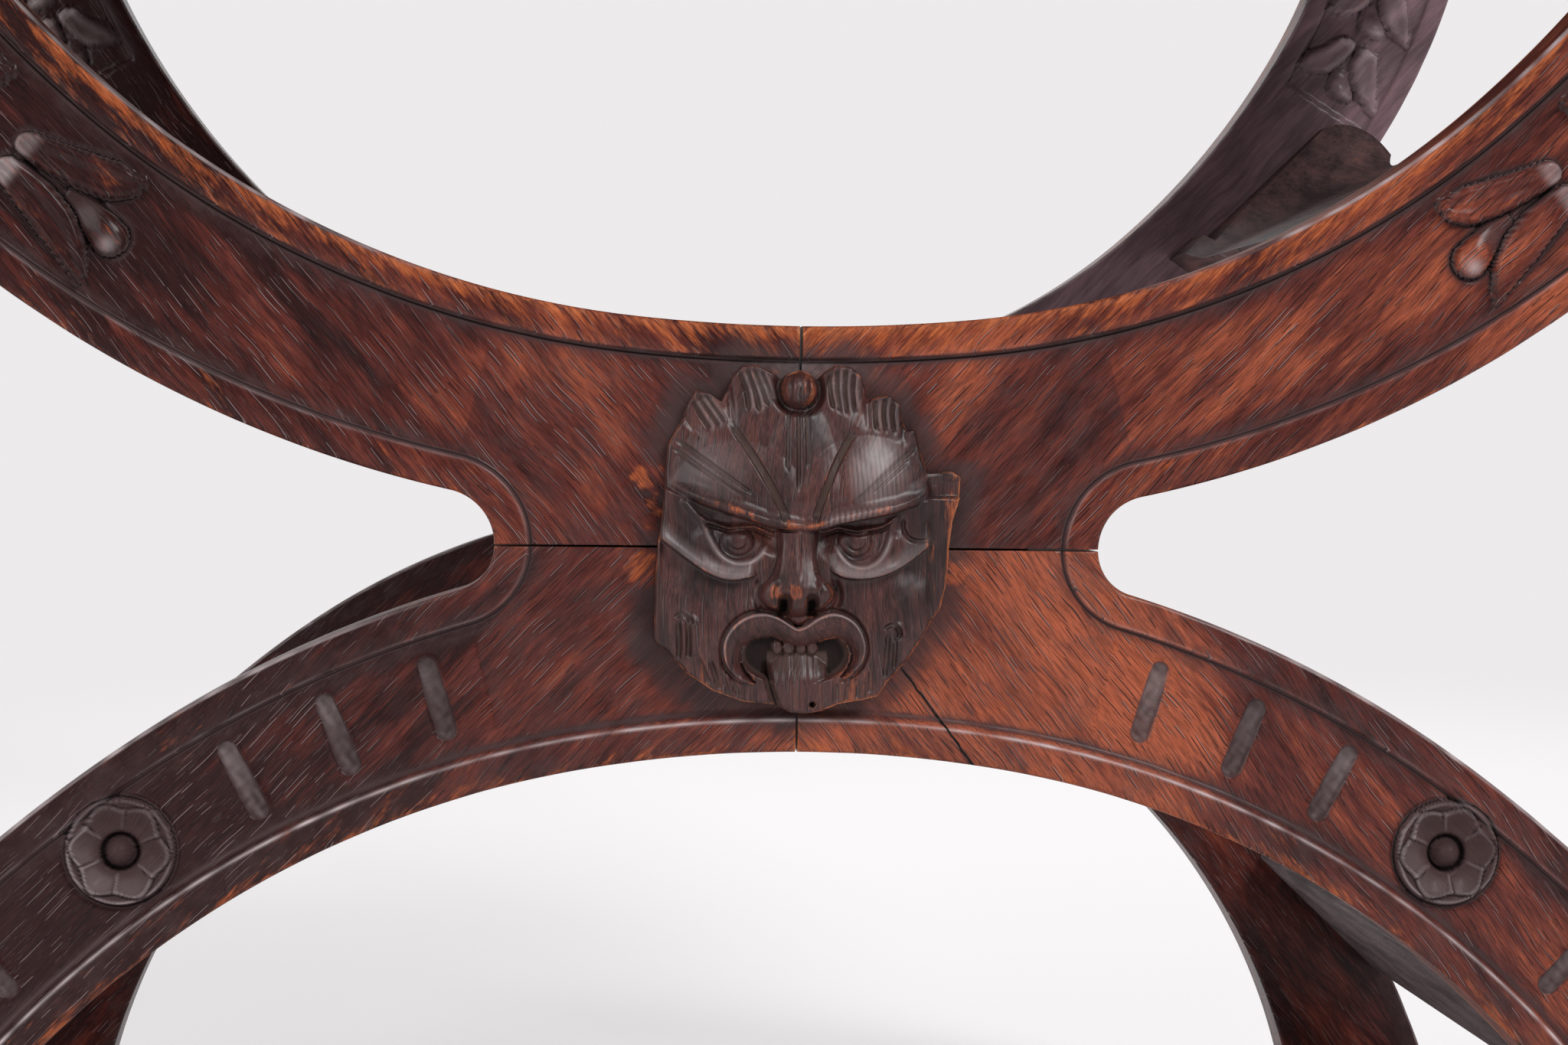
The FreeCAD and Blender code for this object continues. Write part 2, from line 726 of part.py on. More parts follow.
def make_limb(row, level, side):
    upper = level == "arm"
    inner, outer = (ARM_INNER, ARM_OUTER) if upper else (LEG_INNER, LEG_OUTER)
    end = ARM_END if upper else LEG_END
    across, up = SIDES[side], 1 if upper else -1
    face = "-Dims.chair_depth / 2" if row == "front" else "Dims.chair_depth / 2 - Dims.board_thickness"
    body = new_body(f"{row}_{level}_limb_{side}", y=face, z="Dims.crossing_height")
    outline = mirrored(limb_outline(inner, outer, end), across, up)
    pad(body, new_sketch(body, "Outline", "XZ_Plane", outline), "Dims.board_thickness", reverse_way=True)
    field_end = end - dim.field_end_margin
    if row == "front":
        field = limb_outline(inner, outer, field_end, dim.border_width)
    elif upper:
        field = upper_field(field_end, dim.border_width)
    if row == "front" or upper:
        sketch = new_sketch(body, "FieldOutline", "XZ_Plane", mirrored(field, across, up))
        pocket(body, sketch, "Dims.field_depth")
    if upper:
        carve_arm(body, row, across)
    elif row == "front":
        carve_leg(body, across)
    add_limb_tenon(body, level, end, across, up)
    middle = dim.board_thickness / 2
    bore(body, "SideSeamHole", "x", (-across * dim.overrun, middle, up * dim.seam_dowel_height), HOLE_RADIUS,
         "Dims.seam_dowel_depth + Dims.joint_gap + Dims.overrun", across)
    for n, share in enumerate(SEAM_DOWEL_SHARES):
        start = (across * share * dim.notch_half_width, middle, -up * dim.overrun)
        bore(body, f"LevelSeamHole{n}", "z", start, HOLE_RADIUS,
             "Dims.seam_dowel_depth + Dims.joint_gap + Dims.overrun", up)
    if upper:
        for n, (x, z) in enumerate(seat_rail_dowels()):
            start = (across * (x - dim.overrun), middle, z)
            bore(body, f"SeatRailHole{n}", "x", start, HOLE_RADIUS, HOLE_DEPTH + " + Dims.overrun", across)
    if upper and row == "front":
        x, z = mask_pin_place(across)
        bore(body, "MaskPinHole", "y", (x, 0.0, z), "Dims.mask_pin_radius + Dims.glue_gap",
             "Dims.field_depth + Dims.mask_pin_length - Dims.mask_pin_reach + Dims.joint_gap")
    places = dowel_places("upper") + bearer_places() if upper else dowel_places("lower")
    inside = dim.board_thickness if row == "front" else 0.0
    sense = -1 if row == "front" else 1
    for n, (x, z) in enumerate(places):
        start = (across * x, inside - sense * dim.overrun, up * z)
        bore(body, f"RailHole{n}", "y", start, HOLE_RADIUS, HOLE_DEPTH + " + Dims.overrun", sense)
    for n, (x, z) in enumerate(block_screws()):
        if x * across > 0 and z * up > 0:
            start = (x, inside - sense * dim.overrun, z)
            bore(body, f"ScrewHole{n}", "y", start, "Dims.screw_radius + Dims.glue_gap",
                 "Dims.screw_length - Dims.block_thickness + Dims.joint_gap + Dims.overrun", sense)
    return body


def limb_end_span(inner, outer, end):
    """How far the limb's end reaches across, inside and outside."""
    inside = inner.point(inner.angle_at_height(end))[0]
    outside = outer.point(outer.angle_at_height(end))[0]
    return inside, outside


def tenon_span(level):
    """Where the tenon at the end of a limb begins and stops across the chair."""
    if level == "arm":
        inside, outside = limb_end_span(ARM_INNER, ARM_OUTER, ARM_END)
        low_inside, low_outside = limb_end_span(ARM_INNER, ARM_OUTER, ARM_END - dim.tenon_overlap)
    else:
        inside, outside = limb_end_span(LEG_INNER, LEG_OUTER, LEG_END)
        low_inside, low_outside = limb_end_span(LEG_INNER, LEG_OUTER, LEG_END - dim.tenon_overlap)
    start = max(inside, low_inside) + dim.tenon_shoulder
    stop = min(outside, low_outside) - dim.tenon_shoulder
    return start, stop


def add_limb_tenon(body, level, end, across, up):
    """A flat tenon that stands on the end of the limb, half way through its thickness, with its peg hole."""
    start, stop = tenon_span(level)
    low_x = start if across > 0 else -stop
    low_z = end - dim.tenon_overlap if up > 0 else -(end + dim.tenon_length)
    low = (low_x, (dim.board_thickness - dim.tenon_thickness) / 2, low_z)
    block(body, "Tenon", low, (stop - start, "Dims.tenon_thickness", "Dims.tenon_length + Dims.tenon_overlap"))
    peg = (low_x - dim.overrun, dim.board_thickness / 2, up * (end + dim.tenon_length / 2))
    bore(body, "PegHole", "x", peg, "Dims.peg_radius + Dims.glue_gap", stop - start + 2 * dim.overrun)


def mask_pin_place(across):
    """Where the mask's pin on one side of the upright seam stands, from the crossing."""
    return dim.mask_shift + across * dim.mask_pin_spread, dim.mask_rise + dim.mask_pin_rise


def block_screws():
    """Places of the four screws of a crossing block, from the crossing."""
    x = dim.block_width / 2 - dim.screw_inset
    z = dim.block_height / 2 - dim.screw_inset
    return [(-x, -z), (x, -z), (-x, z), (x, z)]


for row in ROWS:
    for level in ("arm", "leg"):
        for side in SIDES:
            make_limb(row, level, side)


# Dowels across the seams of each crossing


def make_crossing_dowels(row):
    y = (FRONT_FACE if row == "front" else REAR_FACE) + dim.board_thickness / 2
    length = "2 * Dims.seam_dowel_depth"
    members = []
    for up in (-1, 1):
        start = (-dim.seam_dowel_depth, y, dim.crossing_height + up * dim.seam_dowel_height)
        members.append(rod(f"{row}_side_dowel", "x", start, "Dims.dowel_radius", length))
    for across in SIDES.values():
        for share in SEAM_DOWEL_SHARES:
            x = across * share * dim.notch_half_width
            start = (x, y, dim.crossing_height - dim.seam_dowel_depth)
            members.append(rod(f"{row}_level_dowel", "z", start, "Dims.dowel_radius", length))
    group(f"crossing_dowels_{row}", members)


for row in ROWS:
    make_crossing_dowels(row)


# Blocks behind the crossings, their screws and the turned stretcher between them


def rectangle(low, high):
    return polygon([low, (high[0], low[1]), high, (low[0], high[1])])


def edge_names(shape, wanted):
    return [f"Edge{n}" for n, edge in enumerate(shape.Edges, start=1) if wanted(edge)]


def dress(body, kind, expression, wanted, name):
    """A fillet or chamfer on the edges of the body that pass a test."""
    doc.recompute()
    base = body.Tip
    feature = body.newObject(f"PartDesign::{kind}", name)
    feature.Base = (base, edge_names(base.Shape, wanted))
    feature.setExpression("Radius" if kind == "Fillet" else "Size", expression)
    body.Tip = feature
    return feature


def ends_at(edge, axis, value):
    """Whether both ends and the middle of an edge lie in one plane across an axis."""
    box = edge.BoundBox
    low, high = {"x": (box.XMin, box.XMax), "y": (box.YMin, box.YMax), "z": (box.ZMin, box.ZMax)}[axis]
    near = dim.glue_gap / 2
    return abs(low - value) < near and abs(high - value) < near


def make_crossing_block(row):
    if row == "front":
        y = "-Dims.chair_depth / 2 + Dims.board_thickness"
    else:
        y = "Dims.chair_depth / 2 - Dims.board_thickness - Dims.block_thickness"
    body = new_body(f"crossing_block_{row}", y=y, z="Dims.crossing_height")
    half_width, half_height = dim.block_width / 2, dim.block_height / 2
    shape = rectangle((-half_width, -half_height), (half_width, half_height))
    pad(body, new_sketch(body, "Outline", "XZ_Plane", shape), "Dims.block_thickness", reverse_way=True)
    inner_face = dim.block_thickness if row == "front" else 0.0
    dress(body, "Chamfer", "Dims.block_chamfer", lambda edge: ends_at(edge, "y", inner_face), "Bevel")
    sense = -1 if row == "front" else 1
    start_y = inner_face - sense * dim.overrun
    bore(body, "SpigotHole", "y", (0, start_y, 0), "Dims.spigot_radius + Dims.glue_gap",
         "Dims.spigot_length + Dims.joint_gap + Dims.overrun", sense)
    for n, (x, z) in enumerate(block_screws()):
        bore(body, f"ScrewHole{n}", "y", (x, start_y, z), "Dims.screw_radius + Dims.glue_gap",
             "Dims.block_thickness + 2 * Dims.overrun", sense)


def screw(name, axis, start, sense, length):
    """A round-headed screw: start is under its head, and sense is the way it is driven."""
    shank = rod(f"{name}_shank", axis, start, "Dims.screw_radius", length, sense)
    head = rod(f"{name}_head", axis, start, "Dims.screw_head_radius", "Dims.screw_head_depth", -sense)
    whole = doc.addObject("Part::MultiFuse", name)
    whole.Shapes = [shank, head]
    return whole


def make_block_screws():
    members = []
    for row in ROWS:
        if row == "front":
            y, sense = FRONT_FACE + dim.board_thickness + dim.block_thickness, -1
        else:
            y, sense = REAR_FACE - dim.block_thickness, 1
        for n, (x, z) in enumerate(block_screws()):
            start = (x, y, dim.crossing_height + z)
            members.append(screw(f"{row}_block_screw{n}", "y", start, sense, "Dims.screw_length"))
    group("crossing_block_screws", members)


def stretcher_profile():
    """Half outline of the turned stretcher along its axis: spigots, collars, vases and a ball."""
    half = SPAN / 2 - dim.block_thickness
    collar = dim.stretcher_end_length
    neck, ball, body_radius = dim.stretcher_neck_radius, dim.stretcher_ball_radius, dim.stretcher_radius
    vase = half - ball - dim.spigot_length
    swell = collar + (vase - collar) * STRETCHER_SWELL_SHARE
    end = [
        (-half - dim.spigot_length, 0.0), (-half - dim.spigot_length, dim.spigot_radius),
        (-half, dim.spigot_radius), (-half, body_radius), (-half + collar, body_radius),
        (-half + collar, neck),
    ]
    shape = [line(p, q) for p, q in zip(end, end[1:])]
    left_vase = (-half + collar, neck), (-half + swell, body_radius), (-half + vase, neck)
    shape.append(arc(*left_vase))
    shape.append(line((-half + vase, neck), (-ball, neck)))
    shape.append(line((-ball, neck), (-ball, neck + dim.joint_gap)))
    shape.append(arc((-ball, neck + dim.joint_gap), (0.0, ball), (ball, neck + dim.joint_gap)))
    other = [(kind, *[(-a, b) for a, b in reversed(points)]) for kind, *points in reversed(shape[:-1])]
    shape += other
    shape.append(line((half + dim.spigot_length, 0.0), (-half - dim.spigot_length, 0.0)))
    return shape


def make_stretcher():
    body = new_body("centre_stretcher", z="Dims.crossing_height")
    sketch = new_sketch(body, "Profile", "YZ_Plane", stretcher_profile())
    feature = body.newObject("PartDesign::Revolution", "Turning")
    feature.Profile = sketch
    feature.ReferenceAxis = (sketch, ["H_Axis"])
    feature.Angle = FULL_TURN
    body.Tip = feature


for row in ROWS:
    make_crossing_block(row)
make_block_screws()
make_stretcher()


# Carved mask on the front crossing: a block with a domed face, brow, nose, eyes and open mouth


def mask_outline(share):
    half_width, half_height = dim.mask_width / 2, dim.mask_height / 2
    return polygon([(share * a * half_width, share * b * half_height) for a, b in MASK_OUTLINE_SHARES])


def make_mask():
    body = new_body("mask", x="Dims.mask_shift", y="-Dims.chair_depth / 2 + Dims.field_depth",
                    z="Dims.crossing_height + Dims.mask_rise")
    half_width, half_height = dim.mask_width / 2, dim.mask_height / 2
    pad(body, new_sketch(body, "Outline", "XZ_Plane", mask_outline(1.0)), "Dims.mask_base_thickness", "Base")
    dome = body.newObject("PartDesign::AdditiveLoft", "Dome")
    dome.Profile = new_sketch(body, "DomeFoot", "XZ_Plane", mask_outline(MASK_DOME_SHARE), -dim.mask_base_thickness)
    top = -dim.mask_base_thickness - dim.mask_face_thickness
    dome.Sections = [new_sketch(body, "DomeTop", "XZ_Plane", mask_outline(MASK_FACE_SHARE), top)]
    dome.Ruled = True
    body.Tip = dome
    low, high = (share * half_height for share in MASK_BROW_SHARES)
    brow_half = MASK_FACE_SHARE * half_width
    brow = [arc((-brow_half, high), (0.0, low), (brow_half, high)), line((brow_half, high), (-brow_half, high))]
    pad(body, new_sketch(body, "Brow", "XZ_Plane", brow), "Dims.mask_brow_thickness", "BrowRidge")
    nose = new_sketch(body, "Nose", "XZ_Plane", [])
    add_circle(nose, (0.0, MASK_NOSE_SHARE * half_height), dim.mask_nose_radius, "Dims.mask_nose_radius")
    pad(body, nose, "Dims.mask_nose_height", "NoseTip")
    mouth = [(a * half_width, b * half_height) for a, b in MASK_MOUTH_SHARES]
    shape = [arc(mouth[0], mouth[1], mouth[2]), line(mouth[2], mouth[0])]
    sketch = new_sketch(body, "Mouth", "XZ_Plane", shape, top)
    pocket(body, sketch, "Dims.mask_face_thickness", "MouthHollow")
    for n, across in enumerate(SIDES.values()):
        start = (across * dim.mask_pin_spread, dim.overrun, dim.mask_pin_rise)
        bore(body, f"PinHole{n}", "y", start, "Dims.mask_pin_radius + Dims.glue_gap",
             "Dims.mask_pin_reach + Dims.joint_gap + Dims.overrun", -1)


def make_mask_pins():
    """Blind pins between the mask and the arms' boards, either side of the upright seam."""
    members = []
    for name, across in SIDES.items():
        x, z = mask_pin_place(across)
        start = (x, FRONT_FACE + dim.field_depth - dim.mask_pin_reach, dim.crossing_height + z)
        members.append(rod(f"mask_pin_{name}", "y", start, "Dims.mask_pin_radius", "Dims.mask_pin_length"))
    group("mask_pins", members)


make_mask()
make_mask_pins()


# Side rails between the frames


def make_side_rail(level, side):
    across, up = SIDES[side], 1 if level == "upper" else -1
    body = new_body(f"{level}_side_rail_{side}", y="-Dims.chair_depth / 2 + Dims.board_thickness",
                    z="Dims.crossing_height")
    section = upper_rail_section() if level == "upper" else lower_rail_section()
    sketch = new_sketch(body, "Section", "XZ_Plane", mirrored(section, across, up))
    pad(body, sketch, "Dims.chair_depth - 2 * Dims.board_thickness", reverse_way=True)
    if level == "upper":
        dish_upper_rail(body, across)
    else:
        dress(body, "Fillet", "Dims.side_rail_round", lambda edge: edge.BoundBox.YLength > SPAN / 2, "EdgeRound")
    for n, (x, z) in enumerate(dowel_places(level)):
        bore(body, f"FrontHole{n}", "y", (across * x, -dim.overrun, up * z), HOLE_RADIUS,
             HOLE_DEPTH + " + Dims.overrun", 1)
        bore(body, f"RearHole{n}", "y", (across * x, SPAN + dim.overrun, up * z), HOLE_RADIUS,
             HOLE_DEPTH + " + Dims.overrun", -1)


def dish_upper_rail(body, across):
    """A long dish with coved ends in the rail's inner face, which leaves its full section at both frames."""
    t = radians(dim.upper_rail_dish_angle)

    def height(point):
        return point[1] * cos(t) - point[0] * sin(t)

    low = height(ARM_OUTER.point(dim.upper_rail_end_angle)) - dim.upper_rail_dish_depth
    high = height(upper_rail_points()[1]) + dim.upper_rail_crown
    radius = dim.upper_rail_dish_radius
    turn = acos(1 - (high - low) / radius)
    cove = []
    for share in (1.0, 0.5, 0.0):
        along_rail = dim.upper_rail_dish_end + radius * (sin(turn) - sin(share * turn))
        cove.append((along_rail, low + radius * (1 - cos(share * turn))))
    other = [(SPAN - a, b) for a, b in cove]
    shape = [arc(*cove), line(cove[2], other[2]), arc(*reversed(other)), line(other[0], cove[0])]
    sketch = new_sketch(body, "DishOutline", "YZ_Plane", shape)
    lean = FreeCAD.Rotation(vec(1, 0, 0), -across * dim.upper_rail_dish_angle)
    sketch.AttachmentOffset = FreeCAD.Placement(vec(0, 0, 0), lean)
    pocket(body, sketch, "2 * Dims.chair_depth", "Dish", both_ways=True)


def make_rail_dowels():
    members = []
    length = "2 * Dims.dowel_depth"
    for level, up in (("upper", 1), ("lower", -1)):
        for side, across in SIDES.items():
            for x, z in dowel_places(level):
                for y in (FRONT_FACE + dim.board_thickness, REAR_FACE):
                    start = (across * x, y - dim.dowel_depth, dim.crossing_height + up * z)
                    members.append(rod(f"{level}_rail_dowel", "y", start, "Dims.dowel_radius", length))
    group("side_rail_dowels", members)


for level in ("upper", "lower"):
    for side in SIDES:
        make_side_rail(level, side)
make_rail_dowels()


# Seat: two bearers between the frames, boards across them, and a rail in each frame


def make_bearer(side):
    across = SIDES[side]
    low = dim.bearer_offset if across > 0 else -dim.bearer_offset - dim.bearer_width
    body = new_body(f"seat_bearer_{side}", y="-Dims.chair_depth / 2 + Dims.board_thickness",
                    z="Dims.crossing_height + Dims.bearer_bottom")
    shape = rectangle((low, 0.0), (low + dim.bearer_width, dim.bearer_height))
    pad(body, new_sketch(body, "Section", "XZ_Plane", shape), "Dims.chair_depth - 2 * Dims.board_thickness",
        reverse_way=True)
    for n, (x, z) in enumerate(bearer_places()):
        height = z - dim.bearer_bottom
        bore(body, f"FrontHole{n}", "y", (across * x, -dim.overrun, height), HOLE_RADIUS,
             HOLE_DEPTH + " + Dims.overrun", 1)
        bore(body, f"RearHole{n}", "y", (across * x, SPAN + dim.overrun, height), HOLE_RADIUS,
             HOLE_DEPTH + " + Dims.overrun", -1)
    for n, y in enumerate(seat_screw_rows()):
        start = (across * (dim.bearer_offset + dim.bearer_width / 2), y, -dim.overrun)
        bore(body, f"ScrewHole{n}", "z", start, "Dims.screw_radius + Dims.glue_gap",
             "Dims.bearer_height + 2 * Dims.overrun", 1)


def board_width():
    return SPAN / round(dim.seat_board_count)


def seat_screw_rows():
    """Where each board's screw stands behind the front frame."""
    return [(n + 0.5) * board_width() for n in range(round(dim.seat_board_count))]


def make_bearer_dowels():
    members = []
    for across in SIDES.values():
        for x, z in bearer_places():
            for y in (FRONT_FACE + dim.board_thickness, REAR_FACE):
                start = (across * x, y - dim.dowel_depth, dim.crossing_height + z)
                members.append(rod("bearer_dowel", "y", start, "Dims.dowel_radius", "2 * Dims.dowel_depth"))
    group("seat_bearer_dowels", members)


def make_seat_board(n):
    """One board across the seat, tongued at the back and grooved at the front."""
    count = round(dim.seat_board_count)
    body = new_body(f"seat_board_{n + 1}", y="-Dims.chair_depth / 2 + Dims.board_thickness",
                    z="Dims.crossing_height + Dims.bearer_bottom + Dims.bearer_height")
    half = dim.bearer_offset + dim.bearer_width
    low, width = n * board_width(), board_width()
    shape = rectangle((-half, low), (half, low + width))
    pad(body, new_sketch(body, "Outline", "XY_Plane", shape), "Dims.seat_board_thickness")
    dress(body, "Chamfer", "Dims.seat_board_chamfer",
          lambda edge: ends_at(edge, "z", dim.seat_board_thickness), "TopChamfer")
    tongue_low = (dim.seat_board_thickness - dim.seat_tongue_thickness) / 2
    if n < count - 1:
        block(body, "Tongue", (-half, low + width, tongue_low),
              (2 * half, "Dims.seat_tongue_width", "Dims.seat_tongue_thickness"))
    if n > 0:
        gap = dim.joint_gap
        block(body, "Groove", (-half - dim.overrun, low - dim.overrun, tongue_low - gap),
              (2 * (half + dim.overrun), "Dims.seat_tongue_width + Dims.joint_gap + Dims.overrun",
               "Dims.seat_tongue_thickness + 2 * Dims.joint_gap"), cut=True)
    for side, across in SIDES.items():
        start = (across * (dim.bearer_offset + dim.bearer_width / 2), low + width / 2, -dim.overrun)
        bore(body, f"ScrewHole{side}", "z", start, "Dims.screw_radius + Dims.glue_gap",
             "Dims.seat_screw_length - Dims.bearer_height + Dims.joint_gap + Dims.overrun", 1)


def make_seat_screws():
    members = []
    z = dim.crossing_height + dim.bearer_bottom
    for side, across in SIDES.items():
        x = across * (dim.bearer_offset + dim.bearer_width / 2)
        for n, y in enumerate(seat_screw_rows()):
            start = (x, FRONT_FACE + dim.board_thickness + y, z)
            members.append(screw(f"seat_screw_{side}{n}", "z", start, 1, "Dims.seat_screw_length"))
    group("seat_screws", members)


def seat_rail_outline(border=0.0):
    """The rail between the arms: its ends follow their inner edges."""
    low, high = dim.bearer_bottom + border, dim.bearer_bottom + dim.seat_rail_height - border
    offset = -dim.seat_rail_clearance - border
    start, stop = ARM_INNER.angle_at_height(low, offset), ARM_INNER.angle_at_height(high, offset)
    right = ARM_INNER.pieces(start, stop, offset)
    left = [tuple((-x, z) for x, z in piece) for piece in reverse(right)]
    shape = [arc(*piece) for piece in right]
    shape.append(line(right[-1][2], left[0][0]))
    shape += [arc(*piece) for piece in left]
    shape.append(line(left[-1][2], right[0][0]))
    return shape


def make_seat_rail(row):
    face = "-Dims.chair_depth / 2" if row == "front" else "Dims.chair_depth / 2 - Dims.board_thickness"
    body = new_body(f"seat_rail_{row}", y=face, z="Dims.crossing_height")
    pad(body, new_sketch(body, "Outline", "XZ_Plane", seat_rail_outline()), "Dims.board_thickness", reverse_way=True)
    if row == "front":
        field = new_sketch(body, "FieldOutline", "XZ_Plane", seat_rail_outline(dim.seat_rail_border))
        pocket(body, field, "Dims.field_depth")
        shape = []
        middle = dim.bearer_bottom + dim.seat_rail_height / 2
        half = (dim.seat_rail_height / 2 - dim.seat_rail_border) * SEAT_GOUGE_SHARE - dim.gouge_width / 2
        r = dim.gouge_width / 2
        count = int((dim.bearer_offset - dim.bearer_width) / dim.seat_gouge_pitch)
        for n in range(-count, count + 1):
            x = n * dim.seat_gouge_pitch
            top, bottom = middle + half, middle - half
            shape += [line((x - r, bottom), (x - r, top)), arc((x - r, top), (x, top + r), (x + r, top)),
                      line((x + r, top), (x + r, bottom)), arc((x + r, bottom), (x, bottom - r), (x - r, bottom))]
        gouges = new_sketch(body, "GougeOutlines", "XZ_Plane", shape, dim.field_depth)
        pocket(body, gouges, "Dims.gouge_depth", "Gouges")
    for side, across in SIDES.items():
        for n, (x, z) in enumerate(seat_rail_dowels()):
            start = (across * (x + dim.overrun), dim.board_thickness / 2, z)
            bore(body, f"Hole{side}{n}", "x", start, HOLE_RADIUS, HOLE_DEPTH + " + Dims.overrun", -across)


def make_seat_rail_dowels():
    members = []
    for row in ROWS:
        y = (FRONT_FACE if row == "front" else REAR_FACE) + dim.board_thickness / 2
        for across in SIDES.values():
            for x, z in seat_rail_dowels():
                start = (across * x - dim.dowel_depth, y, dim.crossing_height + z)
                members.append(rod("seat_rail_dowel", "x", start, "Dims.dowel_radius", "2 * Dims.dowel_depth"))
    group("seat_rail_dowels", members)


for side in SIDES:
    make_bearer(side)
make_bearer_dowels()
for n in range(round(dim.seat_board_count)):
    make_seat_board(n)
make_seat_screws()
for row in ROWS:
    make_seat_rail(row)
make_seat_rail_dowels()


# Arm rests


def frame_faces():
    """The front faces of both frames' boards."""
    return {"front": FRONT_FACE, "rear": REAR_FACE}


def cut_mortises(body, level, low_z):
    """Mortises for the limb tenons, a little larger than these all round."""
    start, stop = tenon_span(level)
    width = stop - start + 2 * dim.joint_gap
    for row, face in frame_faces().items():
        y = face + (dim.board_thickness - dim.tenon_thickness) / 2 - dim.joint_gap
        low = (-width / 2, y, low_z)
        block(body, f"Mortise{row}", low,
              (width, "Dims.tenon_thickness + 2 * Dims.joint_gap",
               "Dims.tenon_length + Dims.joint_gap + Dims.overrun"), cut=True)


def peg_holes(body, half_width, z):
    """Holes right across for the pegs through both tenons."""
    for row, face in frame_faces().items():
        start = (-half_width - dim.overrun, face + dim.board_thickness / 2, z)
        bore(body, f"PegHole{row}", "x", start, "Dims.peg_radius + Dims.glue_gap", 2 * (half_width + dim.overrun))


def tenon_centre(level):
    start, stop = tenon_span(level)
    return (start + stop) / 2


BACK_PLANE = dim.chair_depth / 2 + dim.back_setback


def wave(start, end, top, dip):
    """Four tangent arcs that sink from a level line and rise back to it."""
    quarter = (end - start) / 4
    turn = 2 * atan2(dip / 2, quarter)
    radius = quarter / sin(turn)
    sag = radius * (1 - cos(turn / 2))
    half = radius * sin(turn / 2)
    bottom = top - dip
    middle = (start + end) / 2
    return [
        arc((start, top), (start + half, top - sag), (start + quarter, top - dip / 2)),
        arc((start + quarter, top - dip / 2), (middle - half, bottom + sag), (middle, bottom)),
        arc((middle, bottom), (middle + half, bottom + sag), (end - quarter, top - dip / 2)),
        arc((end - quarter, top - dip / 2), (end - half, top - sag), (end, top)),
    ]


def make_arm_rest(side):
    """A dipped board whose front end is a rounded knuckle; its rear end is level under the back."""
    across = SIDES[side]
    body = new_body(f"arm_rest_{side}", z="Dims.crossing_height + Dims.arm_top_height")
    body.Placement.Base.x = across * tenon_centre("arm")
    half = dim.chair_depth / 2 + dim.arm_rest_overhang
    top, knuckle = dim.arm_rest_thickness, dim.arm_rest_knuckle_radius
    front = -half + knuckle
    flat_start = REAR_FACE - dim.board_thickness
    shape = wave(front, flat_start, top, dim.arm_rest_dip)
    shape += [line((flat_start, top), (half, top)), line((half, top), (half, 0.0))]
    shape += [line((half, 0.0), (front, 0.0)), line((front, 0.0), (front, top))]
    sketch = new_sketch(body, "SideOutline", "YZ_Plane", shape)
    pad(body, sketch, "Dims.arm_rest_width", both_ways=True)

    def top_edge(edge):
        middle = edge.BoundBox.Center
        return edge.BoundBox.XLength < dim.overrun and middle.z > top - 2 * dim.arm_rest_dip

    dress(body, "Fillet", "Dims.arm_rest_round", top_edge, "TopRound")
    knuckle_sketch = new_sketch(body, "KnuckleOutline", "YZ_Plane", [])
    add_circle(knuckle_sketch, (front, top - knuckle), knuckle, "Dims.arm_rest_knuckle_radius")
    pad(body, knuckle_sketch, "Dims.arm_rest_width + 2 * Dims.arm_rest_knuckle_lip", "Knuckle", both_ways=True)
    end_x = dim.arm_rest_width / 2 + dim.arm_rest_knuckle_lip
    dress(body, "Fillet", "Dims.arm_rest_knuckle_round",
          lambda edge: ends_at(edge, "x", end_x) or ends_at(edge, "x", -end_x), "KnuckleRound")
    cut_mortises(body, "arm", -dim.overrun)
    gap = dim.back_gap
    low = (-dim.back_tenon_width / 2 - gap, BACK_PLANE - dim.back_tenon_thickness / 2 - gap, -dim.overrun)
    block(body, "BackMortise", low,
          ("Dims.back_tenon_width + 2 * Dims.back_gap", "Dims.back_tenon_thickness + 2 * Dims.back_gap",
           "Dims.arm_rest_thickness + 2 * Dims.overrun"), cut=True)
    peg_holes(body, dim.arm_rest_width / 2, dim.tenon_length / 2)


# Runner feet with glides


def make_runner(side):
    across = SIDES[side]
    body = new_body(f"runner_foot_{side}", z="Dims.glide_thickness")
    body.Placement.Base.x = across * tenon_centre("leg")
    half, top = dim.chair_depth / 2 + dim.runner_overhang, dim.runner_height
    relief = half - dim.runner_end_length
    r = dim.runner_end_round
    turn = r * (1 - cos(pi / 4))
    shape = [
        line((-half, 0.0), (-relief, 0.0)),
        arc((-relief, 0.0), (0.0, dim.runner_relief), (relief, 0.0)),
        line((relief, 0.0), (half, 0.0)),
        line((half, 0.0), (half, top - r)),
        arc((half, top - r), (half - turn, top - turn), (half - r, top)),
        line((half - r, top), (-half + r, top)),
        arc((-half + r, top), (-half + turn, top - turn), (-half, top - r)),
        line((-half, top - r), (-half, 0.0)),
    ]
    pad(body, new_sketch(body, "SideOutline", "YZ_Plane", shape), "Dims.runner_width", both_ways=True)

    def upper_edge(edge):
        middle = edge.BoundBox.Center
        return edge.BoundBox.XLength < dim.overrun and middle.z > dim.runner_height / 3

    dress(body, "Fillet", "Dims.runner_round", upper_edge, "TopRound")
    cut_mortises(body, "leg", top - dim.tenon_length - dim.joint_gap)
    peg_holes(body, dim.runner_width / 2, top - dim.tenon_length / 2)


